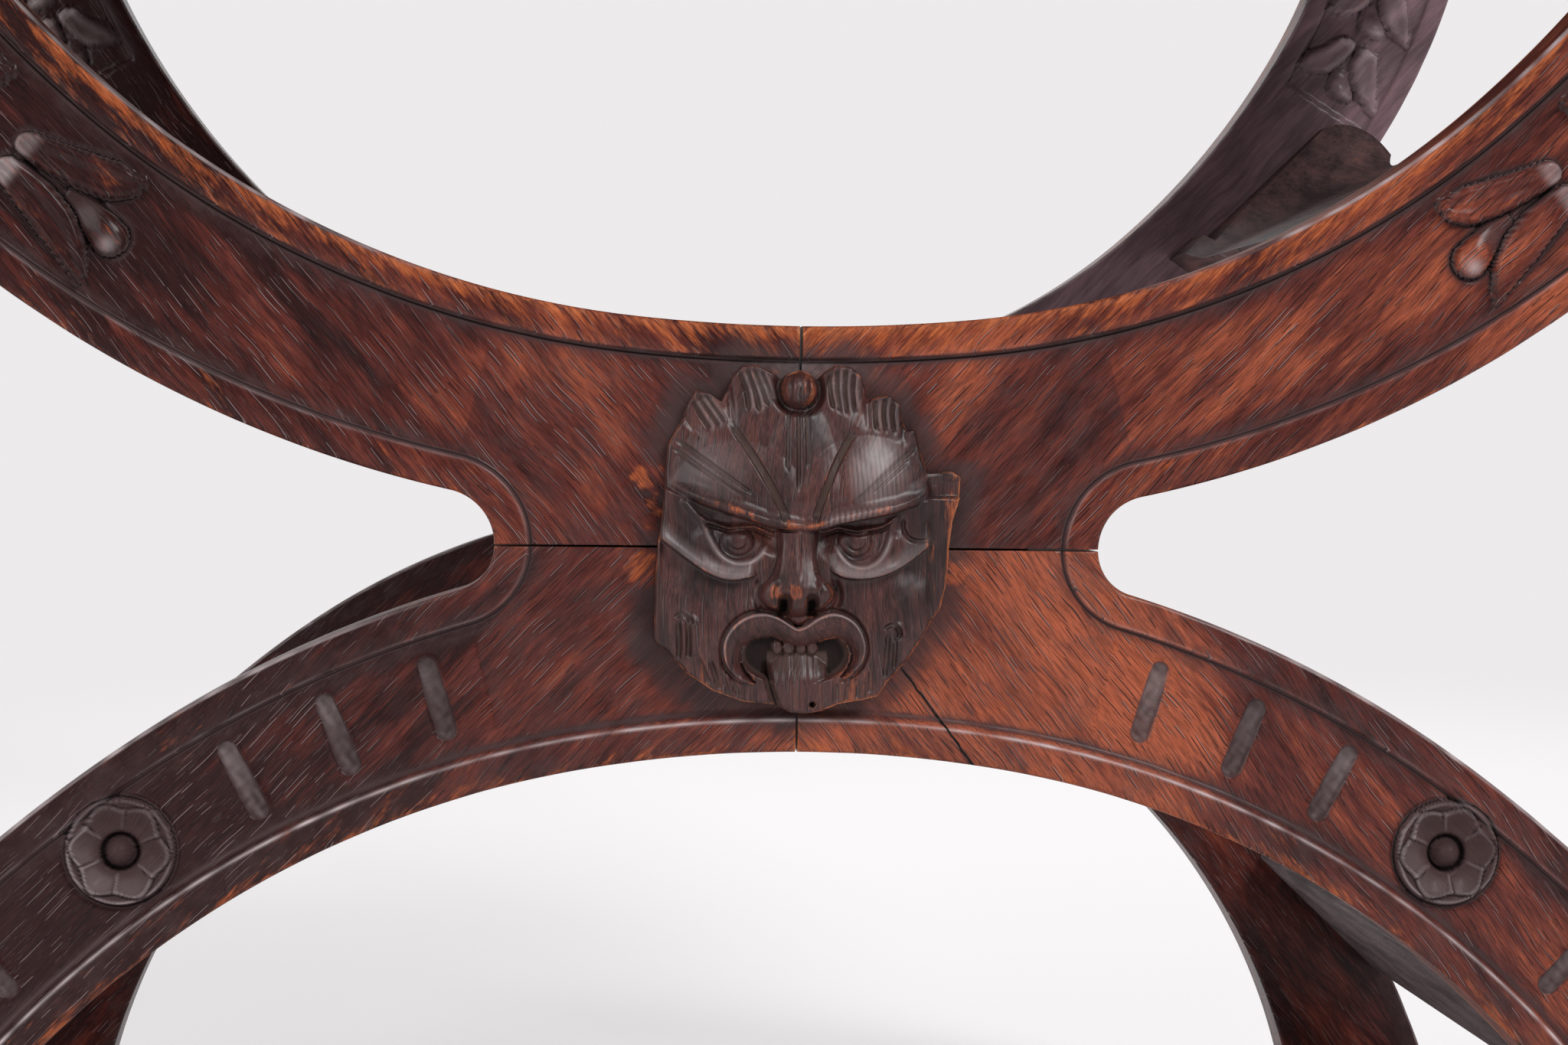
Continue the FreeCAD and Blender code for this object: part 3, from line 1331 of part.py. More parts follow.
def make_glides():
    members = []
    for side, across in SIDES.items():
        for end in (-1, 1):
            pad_box = doc.addObject("Part::Box", f"glide_{side}")
            pad_box.setExpression("Length", "Dims.glide_width")
            pad_box.setExpression("Width", "Dims.glide_length")
            pad_box.setExpression("Height", "Dims.glide_thickness")
            runner_end = dim.chair_depth / 2 + dim.runner_overhang
            y = end * (runner_end - dim.glide_inset - dim.glide_length / 2) - dim.glide_length / 2
            pad_box.Placement.Base = vec(across * tenon_centre("leg") - dim.glide_width / 2, y, 0.0)
            members.append(pad_box)
    group("floor_glides", members)


def make_pegs(name, level, z, width):
    members = []
    for across in SIDES.values():
        for face in frame_faces().values():
            x = across * tenon_centre(level) - width / 2
            start = (x, face + dim.board_thickness / 2, z)
            members.append(rod("tenon_peg", "x", start, "Dims.peg_radius", width))
    group(name, members)


for side in SIDES:
    make_arm_rest(side)
    make_runner(side)
make_glides()
make_pegs("arm_rest_pegs", "arm", dim.crossing_height + ARM_END + dim.tenon_length / 2, dim.arm_rest_width)
make_pegs("runner_pegs", "leg", RUNNER_TOP - dim.tenon_length / 2, dim.runner_width)


# Lift-off back: two stiles whose tenons drop through the arm rests, two rails and a panel


def back_body(name):
    return new_body(name, z="Dims.crossing_height + Dims.arm_top_height + Dims.arm_rest_thickness",
                    y="Dims.chair_depth / 2 + Dims.back_setback - Dims.back_thickness / 2")


def round_back_edges(body, least_width=0.0):
    """Soften the edges of the front and rear faces, or those of them that reach across the back."""
    def wanted(edge):
        in_face = ends_at(edge, "y", 0.0) or ends_at(edge, "y", dim.back_thickness)
        return in_face and edge.BoundBox.XLength >= least_width

    dress(body, "Fillet", "Dims.back_edge_round", wanted, "EdgeRound")


def make_back_stile(side):
    across = SIDES[side]
    body = back_body(f"back_stile_{side}")
    x, half, top = across * tenon_centre("arm"), dim.back_stile_width / 2, dim.back_stile_height
    crown = half
    shape = [
        line((x - half, 0.0), (x + half, 0.0)),
        line((x + half, 0.0), (x + half, top - crown)),
        arc((x + half, top - crown), (x, top), (x - half, top - crown)),
        line((x - half, top - crown), (x - half, 0.0)),
    ]
    pad(body, new_sketch(body, "Outline", "XZ_Plane", shape), "Dims.back_thickness", reverse_way=True)
    round_back_edges(body)
    edge_y = (dim.back_thickness - dim.back_tenon_thickness) / 2
    block(body, "Tenon", (x - dim.back_tenon_width / 2, edge_y, -dim.arm_rest_thickness),
          ("Dims.back_tenon_width", "Dims.back_tenon_thickness", "Dims.arm_rest_thickness"))
    inner_x = x - across * half
    for rail, (low, high) in back_rail_heights().items():
        depth = dim.back_rail_tenon + dim.joint_gap
        low_x = inner_x - dim.overrun if across > 0 else inner_x - depth
        low_point = (low_x, edge_y - dim.joint_gap, low + dim.tenon_shoulder - dim.joint_gap)
        block(body, f"Mortise{rail}", low_point,
              (depth + dim.overrun, "Dims.back_tenon_thickness + 2 * Dims.joint_gap",
               high - low - 2 * dim.tenon_shoulder + 2 * dim.joint_gap), cut=True)
    low, high = back_rail_heights()["bottom"][1], back_rail_heights()["crest"][0]
    depth = dim.back_groove_depth + dim.joint_gap
    low_x = inner_x - dim.overrun if across > 0 else inner_x - depth
    groove_y = (dim.back_thickness - dim.back_panel_thickness) / 2 - dim.joint_gap
    block(body, "PanelGroove", (low_x, groove_y, low - depth),
          (depth + dim.overrun, "Dims.back_panel_thickness + 2 * Dims.joint_gap", high - low + 2 * depth), cut=True)


def back_rail_heights():
    """Bottom and top of each rail where it meets the stiles, above the arm rests."""
    low = dim.back_rail_rise
    crest_top = dim.back_stile_height - dim.back_stile_width / 2
    return {"bottom": (low, low + dim.back_rail_height), "crest": (crest_top - dim.back_crest_height, crest_top)}


def back_inner_half():
    return tenon_centre("arm") - dim.back_stile_width / 2


def make_back_rail(rail):
    """A rail between the stiles with a tenon at each end and a groove for the panel."""
    body = back_body(f"back_{rail}_rail")
    low, high = back_rail_heights()[rail]
    half = back_inner_half()
    shape = [line((-half, low), (half, low)), line((half, low), (half, high)), line((-half, high), (-half, low))]
    if rail == "crest":
        shape.append(arc((half, high), (0.0, high + dim.back_crest_rise), (-half, high)))
    else:
        shape.append(line((half, high), (-half, high)))
    pad(body, new_sketch(body, "Outline", "XZ_Plane", shape), "Dims.back_thickness", reverse_way=True)
    round_back_edges(body, half)
    edge_y = (dim.back_thickness - dim.back_tenon_thickness) / 2
    overlap = dim.tenon_overlap
    for side, across in SIDES.items():
        low_x = half - overlap if across > 0 else -half - dim.back_rail_tenon
        block(body, f"Tenon{side}", (low_x, edge_y, low + dim.tenon_shoulder),
              ("Dims.back_rail_tenon + Dims.tenon_overlap", "Dims.back_tenon_thickness",
               high - low - 2 * dim.tenon_shoulder))
    groove_y = (dim.back_thickness - dim.back_panel_thickness) / 2 - dim.joint_gap
    depth = dim.back_groove_depth + dim.joint_gap
    groove_low = high - depth if rail == "bottom" else low - dim.overrun
    block(body, "PanelGroove", (-half - dim.overrun, groove_y, groove_low),
          (2 * (half + dim.overrun), "Dims.back_panel_thickness + 2 * Dims.joint_gap", depth + dim.overrun), cut=True)


def make_back_panel():
    body = back_body("back_panel")
    half = back_inner_half() + dim.back_groove_depth
    low = back_rail_heights()["bottom"][1] - dim.back_groove_depth
    high = back_rail_heights()["crest"][0] + dim.back_groove_depth
    shape = rectangle((-half, low), (half, high))
    depth = (dim.back_thickness - dim.back_panel_thickness) / 2
    pad(body, new_sketch(body, "Outline", "XZ_Plane", shape, depth), "Dims.back_panel_thickness", reverse_way=True)
    middle = (low + high) / 2
    rosettes = []
    for x in (-half * BACK_ROSETTE_SHARE, 0.0, half * BACK_ROSETTE_SHARE):
        rosettes += rosette_shape((x, middle))
    pad(body, new_sketch(body, "Petals", "XZ_Plane", rosettes, depth), "Dims.rosette_height", "Rosettes")


for side in SIDES:
    make_back_stile(side)
for rail in ("bottom", "crest"):
    make_back_rail(rail)
make_back_panel()


# Check every object, then write each node's file

doc.recompute()
broken = [thing.Name for thing in doc.Objects if "Invalid" in thing.State or "Error" in thing.State]
broken += [name for name, thing in PARTS.items() if thing.Shape.isNull() or not thing.Shape.isValid()]
if broken:
    raise RuntimeError(f"not sound: {', '.join(broken)}")
os.makedirs("parts", exist_ok=True)
for name, thing in PARTS.items():
    thing.Shape.exportStep(f"parts/{name}.step")
    box = thing.Shape.BoundBox
    print(f"{name}: {len(thing.Shape.Solids)} solids, {thing.Shape.Volume:.0f} mm3,",
          f"x {box.XMin:.1f} to {box.XMax:.1f}, y {box.YMin:.1f} to {box.YMax:.1f}, z {box.ZMin:.1f} to {box.ZMax:.1f}")
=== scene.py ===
from math import acos, atan2, cos, degrees, hypot, pi, radians, sin

import bpy
import numpy as np
from mathutils import Matrix, Vector


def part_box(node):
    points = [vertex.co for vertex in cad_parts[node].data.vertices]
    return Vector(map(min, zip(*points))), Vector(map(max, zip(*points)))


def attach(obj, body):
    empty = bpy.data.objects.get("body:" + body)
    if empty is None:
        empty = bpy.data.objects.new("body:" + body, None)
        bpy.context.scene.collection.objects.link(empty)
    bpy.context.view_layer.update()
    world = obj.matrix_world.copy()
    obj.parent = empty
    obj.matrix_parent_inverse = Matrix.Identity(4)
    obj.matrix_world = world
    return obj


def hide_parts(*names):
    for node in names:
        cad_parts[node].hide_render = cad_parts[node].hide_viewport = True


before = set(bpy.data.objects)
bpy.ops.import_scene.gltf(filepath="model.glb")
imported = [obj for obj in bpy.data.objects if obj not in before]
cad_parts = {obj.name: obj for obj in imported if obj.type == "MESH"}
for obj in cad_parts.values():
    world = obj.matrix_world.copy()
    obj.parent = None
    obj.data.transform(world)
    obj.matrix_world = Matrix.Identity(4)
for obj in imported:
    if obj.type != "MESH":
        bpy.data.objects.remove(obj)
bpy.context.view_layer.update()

# Savonarola armchair of carved, dark stained oak. All lengths are in metres, all slopes in degrees.

SIDES = {"left": -1, "right": 1}

# Sizes of the limbs, read from their boards where the frame gives them
ARM_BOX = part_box("front_arm_limb_right")
LEG_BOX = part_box("front_leg_limb_right")
CROSSING = ARM_BOX[0].z
FRONT_FACE = ARM_BOX[0].y
REAR_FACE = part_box("rear_arm_limb_right")[0].y
BOARD = ARM_BOX[1].y - ARM_BOX[0].y
ARM_END = 0.430
TENON_LENGTH = 0.014
LEG_END = CROSSING - LEG_BOX[0].z - TENON_LENGTH
BORDER = 0.0076
FIELD_DEPTH = 0.0016
NOTCH_HALF_WIDTH = 0.0696
END_MARGIN = 0.016
SEAM_GAP = 0.00024

# Carving on the limbs
ORNAMENT_OFFSET = 0.0229
GOUGE_LENGTH = 0.0196
GOUGE_WIDTH = 0.0044
GOUGE_DEPTH = 0.0020
FIRST_GOUGE = 16.8
GOUGE_STEP = 5.5
ROSETTE_GAP = 7.4
GOUGE_GAP = 9.2
ROSETTE_RADIUS = 0.0120
ROSETTE_BOSS = 0.0039
FIRST_HUSK = 37.5
HUSK_LENGTH = 0.038
HUSK_PITCH = 0.0395
HUSK_REACH_SHARE = 0.62
REAR_HUSK_LENGTH = 0.0256
REAR_HUSK_PITCH = 0.0266
UPPER_RAIL_END = 57.0
REAR_FIELD_RISE = 0.008

# The lobes of a husk: points of their spines, along and across the limb, with half widths, in millimetres
MIDDLE_LOBE = [(0.0, 1.5, 2.4), (7.0, 2.6, 3.6), (11.4, 3.7, 4.2)]
SIDE_LOBES = [
    [
        (-15.0, -1.6, 3.0), (-9.0, -2.8, 3.6), (-2.0, -4.6, 4.2),
        (4.5, -6.8, 4.4), (8.0, -8.6, 3.2), (9.6, -10.6, 1.2),
    ],
    [
        (-15.0, 5.6, 3.2), (-8.0, 6.4, 4.3), (0.0, 8.4, 4.6),
        (6.0, 10.8, 3.6), (10.0, 13.4, 2.0), (12.6, 15.6, 0.5),
    ],
]
# Bare wood in the field beside the mask: centres and reaches in millimetres from the crossing
BARE_PATCHES = [
    ((-34.6, 16.0), (5.2, 4.0)), ((-33.4, 8.2), (2.4, 6.0)), ((-35.6, -5.0), (5.4, 5.6)),
    ((-7.6, 38.8), (3.4, 2.8)), ((6.0, 38.4), (3.0, 2.6)), ((36.6, -5.6), (2.6, 3.4)),
]


# Edges of the limbs


class Edge:
    """A chain of tangent arcs, each a centre, a radius and the slope at which it ends."""

    def __init__(self, *arcs):
        self.arcs = arcs

    def arc_at(self, angle):
        for arc in self.arcs:
            if angle <= arc[2]:
                return arc
        return self.arcs[-1]

    def point(self, angle, offset=0.0):
        (x, z), radius, _ = self.arc_at(angle)
        a = radians(angle)
        return x + (radius + offset) * sin(a), z - (radius + offset) * cos(a)

    def angle_at_height(self, height, offset=0.0):
        begin = 0.0
        for (_, z), radius, until in self.arcs:
            share = (z - height) / (radius + offset)
            if abs(share) <= 1.0 and begin <= degrees(acos(share)) <= until:
                return degrees(acos(share))
            begin = until
        raise ValueError(f"the edge does not reach {height}")

    def angle_after(self, angle, length, offset=0.0):
        """The slope reached by walking a length along the edge."""
        for _, radius, until in self.arcs:
            if angle >= until:
                continue
            step = degrees(length / (radius + offset))
            if angle + step <= until:
                return angle + step
            length -= radians(until - angle) * (radius + offset)
            angle = until
        return angle

    def length_to(self, angle):
        total, begin = 0.0, 0.0
        for _, radius, until in self.arcs:
            total += radians(max(0.0, min(angle, until) - begin)) * radius
            begin = until
        return total


ARM_INNER = Edge(
    ((0.0, 0.4439), 0.393, 5.6), ((0.017155, 0.268939), 0.2172, 41.2),
    ((-0.024672, 0.316717), 0.2807, 62.0), ((0.046582, 0.278831), 0.200, 90.0),
    ((-0.403418, 0.278831), 0.650, 180.0),
)
ARM_OUTER = Edge(
    ((0.0223, 0.2777), 0.2713, 48.4), ((-0.014866, 0.310697), 0.321, 62.0),
    ((0.046323, 0.278163), 0.2517, 90.0), ((-0.403677, 0.278163), 0.7017, 180.0),
)
LEG_INNER = Edge(((0.0, 0.335), 0.288, 9.8), ((0.010808, 0.272427), 0.2245, 180.0))
LEG_OUTER = Edge(((0.0, 0.2705), 0.2715, 35.5), ((-0.044540, 0.332943), 0.3482, 180.0))


def notch(outer):
    """Radius and centre of the round at the crossing's side, and the outer edge's slope where it joins."""
    (cx, cz), radius, _ = outer.arcs[0]
    along = NOTCH_HALF_WIDTH - cx
    notch_radius = (along ** 2 + cz ** 2 - radius ** 2) / (2 * (radius - along))
    notch_x = NOTCH_HALF_WIDTH + notch_radius
    return notch_radius, notch_x, degrees(atan2(notch_x - cx, cz))


# Carved faces of the limbs. Heights are measured into the board, so a raised form is negative.


def smooth(low, high, value):
    t = np.clip((value - low) / (high - low), 0.0, 1.0)
    return t * t * (3.0 - 2.0 * t)


def unevenness(x, z, pitch, phase=0.0):
    """A slow, seedless wobble between about -1 and 1, like a surface worked by hand."""
    return (
        np.sin(x * 2 * pi / pitch + 1.7 * np.sin(z * 4.1 / pitch + phase))
        + np.sin(z * 2 * pi / (pitch * 1.31) + 2.1 * np.sin(x * 3.3 / pitch + 2.0 * phase))
    ) / 2.0


def local(x, z, centre, direction):
    """Distances along and across a direction from a centre."""
    dx, dz = x - centre[0], z - centre[1]
    return dx * direction[0] + dz * direction[1], dz * direction[0] - dx * direction[1]


def gouge_places():
    """Slopes of the gouges, and of the rosettes between their groups of three."""
    gouges, rosettes = [], []
    angle = FIRST_GOUGE
    while True:
        rosette = angle + 2 * GOUGE_STEP + ROSETTE_GAP
        low_point = LEG_INNER.point(rosette, ORNAMENT_OFFSET)[1] + ROSETTE_RADIUS
        if low_point > LEG_END - END_MARGIN:
            return gouges, rosettes
        gouges += [angle + GOUGE_STEP * n for n in range(3)]
        rosettes.append(rosette)
        angle = rosette + GOUGE_GAP


def rear_field_start():
    return ARM_INNER.angle_after(UPPER_RAIL_END, REAR_FIELD_RISE)


def husk_places(row):
    """Slopes of the husks that hang down each arm, on the rear arms only above the side rail."""
    angle, pitch, length = FIRST_HUSK, HUSK_PITCH, HUSK_LENGTH
    if row == "rear":
        pitch, length = REAR_HUSK_PITCH, REAR_HUSK_LENGTH
        angle = ARM_INNER.angle_after(rear_field_start(), HUSK_REACH_SHARE * length, ORNAMENT_OFFSET)
    last = ARM_INNER.angle_at_height(ARM_END - END_MARGIN - length / 2, ORNAMENT_OFFSET)
    places = []
    while angle < last:
        places.append(angle)
        angle = ARM_INNER.angle_after(angle, pitch, ORNAMENT_OFFSET)
    return places


def gouge_cut(x, z, angle):
    """Depth of a slot with a round bottom and round ends, how near a point is to it, and a painted light that
    grows towards one end.
    """
    t = radians(angle)
    along, across = local(x, z, LEG_INNER.point(angle, ORNAMENT_OFFSET), (sin(t), -cos(t)))
    reach = np.maximum(np.abs(along + 0.0006 * sin(angle)) - (GOUGE_LENGTH - GOUGE_WIDTH) / 2, 0.0)
    r = np.hypot(reach, across) / (GOUGE_WIDTH / 2 * (1.0 - 0.14 * smooth(0.0, 0.010, along)))
    depth = GOUGE_DEPTH * np.clip(1.0 - r ** 2, 0.0, 1.0) ** 0.4
    lip = -0.00024 * np.exp(-((r - 1.22) / 0.2) ** 2)
    light = 0.10 + 0.15 * smooth(-0.006, 0.008, along) + 0.07 * unevenness(x, z, 0.0027, 0.4)
    return depth + lip, smooth(1.25, 0.95, r), light * smooth(1.1, 0.8, r)


def rosette_rise(x, z, centre, turn, hand):
    """A shallow bowl of six hollow petals with thin rims, round a boss in a deep ring, with painted shade in
    its cuts and painted light on its rims and petals.
    """
    dx, dz = x - centre[0], z - centre[1]
    r = np.hypot(dx, dz) / ROSETTE_RADIUS
    sector = ((np.arctan2(dz, dx) + turn) * 6 / (2 * pi)) % 1.0 - 0.5
    inside = smooth(1.03, 0.98, r)
    scallop = 0.845 + 0.07 * np.cos(sector * 2 * pi)
    hollow = np.exp(-((sector / 0.27) ** 2 + ((r - 0.60) / 0.19) ** 2))
    bowl = 0.0002 + 0.0017 * smooth(0.30, 0.90, r) - 0.0008 * hollow
    rib = np.exp(-((np.abs(sector) - 0.5) / 0.045) ** 2) * smooth(0.36, 0.50, r) * smooth(0.86, 0.74, r)
    petal = bowl + 0.0005 * rib + 0.0004 * np.exp(-((r - scallop) / 0.030) ** 2)
    petal = np.where(r > scallop, 0.0012 + 0.0006 * np.exp(-((r - 0.97) / 0.035) ** 2), petal)
    petal -= 0.0005 * np.exp(-((r - scallop - 0.045) / 0.018) ** 2)
    boss_r = r * ROSETTE_RADIUS / ROSETTE_BOSS
    boss = 0.0032 * np.clip(1.0 - (boss_r / 0.80) ** 2, 0.0, 1.0) ** 0.65 - 0.0006
    ring = 0.0017 * smooth(1.30, 0.92, boss_r)
    moat = 0.0005 * np.exp(-((r - 1.07) / 0.04) ** 2)
    # Painted shade in the cuts: round the boss, inside the scallops, beside each rib and round the rim
    gap = 1.1 * np.exp(-((boss_r - 1.02) / 0.24) ** 2) + 0.95 * np.exp(-((r - scallop - 0.055) / 0.032) ** 2)
    beside = np.exp(-((np.abs(sector + 0.075) - 0.5) / 0.045) ** 2)
    beside = beside * smooth(0.40, 0.52, r) * smooth(0.88, 0.80, r)
    gap = np.maximum(np.maximum(gap, 0.92 * beside) * inside, 0.85 * np.exp(-((r - 1.05) / 0.035) ** 2))
    dark = np.clip(np.maximum(0.80 * inside, gap) + 0.3 * smooth(1.35, 1.0, r) * (1.0 - inside), 0.0, 1.0)
    # Painted light on the rims and ribs, and on the petals towards the light
    lit = smooth(-0.75, 0.75, (0.8 * dz - 0.6 * hand * dx) / ROSETTE_RADIUS)
    rims = 0.46 * np.exp(-((r - scallop + 0.005) / 0.030) ** 2) + 0.48 * np.exp(-((r - 0.972) / 0.026) ** 2)
    face = 0.12 * lit ** 3 * smooth(0.42, 0.62, r) * smooth(scallop, scallop - 0.08, r)
    face = face * (1.0 - 0.8 * (2.0 * sector) ** 4)
    pale = np.maximum((rims + 0.24 * rib) * (0.30 + 0.70 * lit), face)
    pale = pale * inside * (1.0 - smooth(0.45, 0.9, gap))
    height = np.where(boss_r < 0.80, np.maximum(boss, -0.0006), petal - ring)
    return moat - height * inside, dark, np.clip(pale, 0.0, 1.0)


def lobe(along, across, spine):
    """How far each point lies from a lobe's spine, as a share of the lobe's half width there."""
    d, share, _ = path_distance(along, across, [p[:2] for p in rounded(spine)])
    return d / np.interp(share, walked_shares(spine), [p[2] for p in spine])


def husk_rise(x, z, angle, length):
    """A husk of three lobes that point down the limb: two long ones over a short round one, with painted
    shade round the lobes and painted highlights on them.
    """
    t = radians(angle)
    along, across = local(x, z, ARM_INNER.point(angle, ORNAMENT_OFFSET), (-cos(t), -sin(t)))
    along, across = along * 1000.0 * HUSK_LENGTH / length, across * 1000.0 * (length / HUSK_LENGTH) ** 0.7
    rise, dark, pale, worn = (np.zeros_like(x) for _ in range(4))
    near = (np.abs(along) < 24.0) & (np.abs(across) < 22.0)
    if not near.any():
        return rise, dark, pale, worn
    u, v = along[near], across[near]
    s = lobe(u, v, MIDDLE_LOBE)
    on = smooth(1.03, 0.93, s)
    top = on * (0.0010 + 0.0022 * np.sqrt(np.clip(1.0 - s ** 2, 0.0, 1.0)) * smooth(1.0, 11.0, u))
    ditch = np.exp(-((s - 1.09) / 0.09) ** 2)
    dust = np.exp(-(np.maximum(s - 1.0, 0.0) / 0.55) ** 2)
    rim = 0.50 * on * np.exp(-((u - 12.6) / 1.9) ** 2 - ((v - 5.2) / 2.0) ** 2)
    body = on * smooth(5.0, 9.0, u)
    for spine in SIDE_LOBES:
        s = lobe(u, v, spine)
        on = smooth(1.04, 0.93, s)
        shape = 0.0014 + 0.0018 * np.clip(1.0 - s ** 4, 0.0, 1.0) ** 0.5 - 0.0007 * np.exp(-(s / 0.45) ** 2)
        shape += 0.0006 * smooth(-9.0, -15.0, u) - 0.0005 * smooth(6.0, 13.0, u)
        edge = np.exp(-((s - 1.08) / 0.08) ** 2)
        top = np.maximum(top * (1.0 - on) - 0.0006 * edge * (1.0 - on), shape * on)
        ditch = np.maximum(ditch * (1.0 - on), edge * (1.0 - on))
        dust = np.maximum(dust * (1.0 - on), np.exp(-(np.maximum(s - 1.0, 0.0) / 0.5) ** 2) * (1.0 - on))
        root = 0.50 * smooth(-11.8, -14.6, u) * smooth(0.98, 0.80, s) * (0.8 + 0.2 * np.sin(v * 2 * pi / 0.9))
        body = np.maximum(body, on)
        rim = np.maximum(rim * (1.0 - on), np.maximum(root, 0.13 * np.exp(-((s - 0.95) / 0.05) ** 2)) * on)
    rise[near] = top - 0.0009 * ditch
    # Painted shade in the ditch round each lobe, dust and shade beside it
    dark[near] = np.clip(0.52 * dust * (1.0 - body) + 0.95 * ditch, 0.0, 1.0)
    # Painted highlights at the lobes' tips, roots and edges
    pale[near] = rim
    worn[near] = 0.30 * body * (1.0 - ditch)
    return -rise, dark, pale, worn


def carve(x, z, inner_distance, outer_distance, level, row, real_x, real_z):
    """How deep each point of a limb's front face lies, its wear, its grime with painted shade, and its pale
    dust with painted highlights.
    """
    arm = level == "arm"
    wobble = unevenness(x, z, 0.031)
    edge = np.minimum(inner_distance, outer_distance)
    end = ARM_END if arm else LEG_END
    field = smooth(end - END_MARGIN + 0.0008, end - END_MARGIN - 0.0008, z)
    if row == "rear" and arm:
        start = rear_field_start()
        t = radians(start)
        beyond, _ = local(x, z, ARM_INNER.point(start, BORDER), (cos(t), sin(t)))
        field = field * smooth(-0.0007, 0.0007, beyond)
    elif row == "rear":
        field = np.zeros_like(x)
    # Borders: a crisp step beside the arm's inner border, softer slopes elsewhere
    inner_soft = 0.0004 if arm else 0.0022
    outer_soft = 0.0013 if arm else 0.0009
    inner_step = smooth(BORDER - 0.0003, BORDER + inner_soft, inner_distance + 0.00012 * wobble)
    outer_step = smooth(BORDER - 0.0003, BORDER + outer_soft, outer_distance + 0.0002 * wobble)
    sunk = inner_step * outer_step * field
    depth = FIELD_DEPTH * sunk
    # A tool's line in the corner under each border, and on the legs a ridge with a soft hollow beside it
    depth += 0.00045 * np.exp(-((inner_distance - BORDER - inner_soft) / 0.0005) ** 2) * field
    depth += 0.00025 * np.exp(-((outer_distance - BORDER - outer_soft) / 0.0006) ** 2) * field
    ridge = np.exp(-((inner_distance - BORDER + 0.0002) / 0.0006) ** 2) * field
    if not arm:
        depth -= 0.00045 * ridge
        depth += 0.00030 * np.exp(-((inner_distance - BORDER - 0.0036) / 0.0018) ** 2) * field
    depth += 0.00012 * sunk * unevenness(x, z, 0.013, 1.0)
    # Worn arrises and slightly rounded borders
    roll = 0.0011 + 0.0003 * unevenness(x, z, 0.017, 2.0)
    rounding = roll - np.sqrt(np.clip(roll ** 2 - (roll - edge) ** 2, 0.0, None))
    depth += np.where(edge < roll, rounding, 0.0) * 0.8
    sagging = smooth(BORDER - 0.0022, BORDER, edge) * (1.0 - sunk) * field
    depth += 0.00016 * smooth(0.0045, 0.0, edge) + 0.00022 * sagging
    grime_and_shade, pale, worn = (np.zeros_like(x) for _ in range(3))
    if arm:
        length = HUSK_LENGTH if row == "front" else REAR_HUSK_LENGTH
        for angle in husk_places(row):
            rise, dark, light, rubbed = husk_rise(x, z, angle, length)
            depth += rise * sunk
            grime_and_shade = np.maximum(grime_and_shade, dark if row == "front" else 0.9 * dark)
            # On the rear arms the husks' worn tops are also lightened, a painted highlight
            pale = np.maximum(pale, (light if row == "front" else light + 0.5 * rubbed) * sunk)
            worn = np.maximum(worn, rubbed * sunk)
    elif row == "front":
        gouges, rosettes = gouge_places()
        hand = float(np.sign(real_x.sum()))
        for angle in gouges:
            cut, near, light = gouge_cut(x, z, angle)
            depth += cut * sunk
            grime_and_shade = np.maximum(grime_and_shade, 0.80 * near)
            pale = np.maximum(pale, light)
        for angle in rosettes:
            centre = LEG_INNER.point(angle, ORNAMENT_OFFSET)
            rise, dark, light = rosette_rise(x, z, centre, radians(angle), hand)
            depth += rise * sunk
            grime_and_shade = np.maximum(grime_and_shade, dark)
            pale = np.maximum(pale, light * sunk)
    # Painted shade: a dark line in the corner under each border, and on the legs a second one beside the
    # ridge
    corner = (0.98 if arm else 0.2) * np.exp(-((inner_distance - BORDER - 0.0008) / 0.0008) ** 2)
    corner = np.maximum(corner, 0.97 * np.exp(-((outer_distance - BORDER - 0.0007) / 0.00055) ** 2))
    if not arm:
        corner = np.maximum(corner, 0.78 * np.exp(-((inner_distance - BORDER - 0.0017) / 0.0008) ** 2))
    # A darker haze along the borders, and painted shade in the field round the mask
    veil = 0.40 * smooth(0.0155, 0.0085, edge) * sunk
    if row == "front":
        veil = np.maximum(veil, 0.60 * smooth(1.34, 1.04, mask_share(real_x, real_z)))
    border = smooth(BORDER + 0.0004, BORDER - 0.0006, edge)
    shade = 0.10 if arm else 0.30
    grime_and_shade = np.clip(np.maximum.reduce([grime_and_shade, corner * field, veil, shade * border]), 0.0, 1.0)
    inner_side = inner_distance < outer_distance
    least, gain, near, far = (0.46, 0.26, 0.0012, 0.0050) if arm else (0.30, 0.20, 0.0010, 0.0045)
    streaky = np.where(inner_side, least + gain * smooth(far, near, inner_distance), gain)
    thin = smooth(0.0016, 0.0004, edge) * np.where(inner_side, 0.74, 0.56)
    arris = thin * (0.80 + 0.20 * unevenness(x, z, 0.024, 0.7))
    wear = np.maximum.reduce([arris, streaky * border, worn])
    patchy = 0.62 + 0.38 * unevenness(x, z, 0.011, 1.9)
    # Painted highlights: a light line along the legs' ridge, faint on the arms, and a fainter one along each
    # outer border
    line = np.exp(-((inner_distance - BORDER + 0.0001) / 0.00036) ** 2) * field
    shown = 1.0 if row == "front" else 0.3
    pale = np.maximum(pale, (0.10 if arm else 1.0) * shown * line * patchy)
    line = np.exp(-((outer_distance - BORDER + 0.0001) / 0.00030) ** 2) * field
    pale = np.maximum(pale, 0.22 * shown * line * patchy)
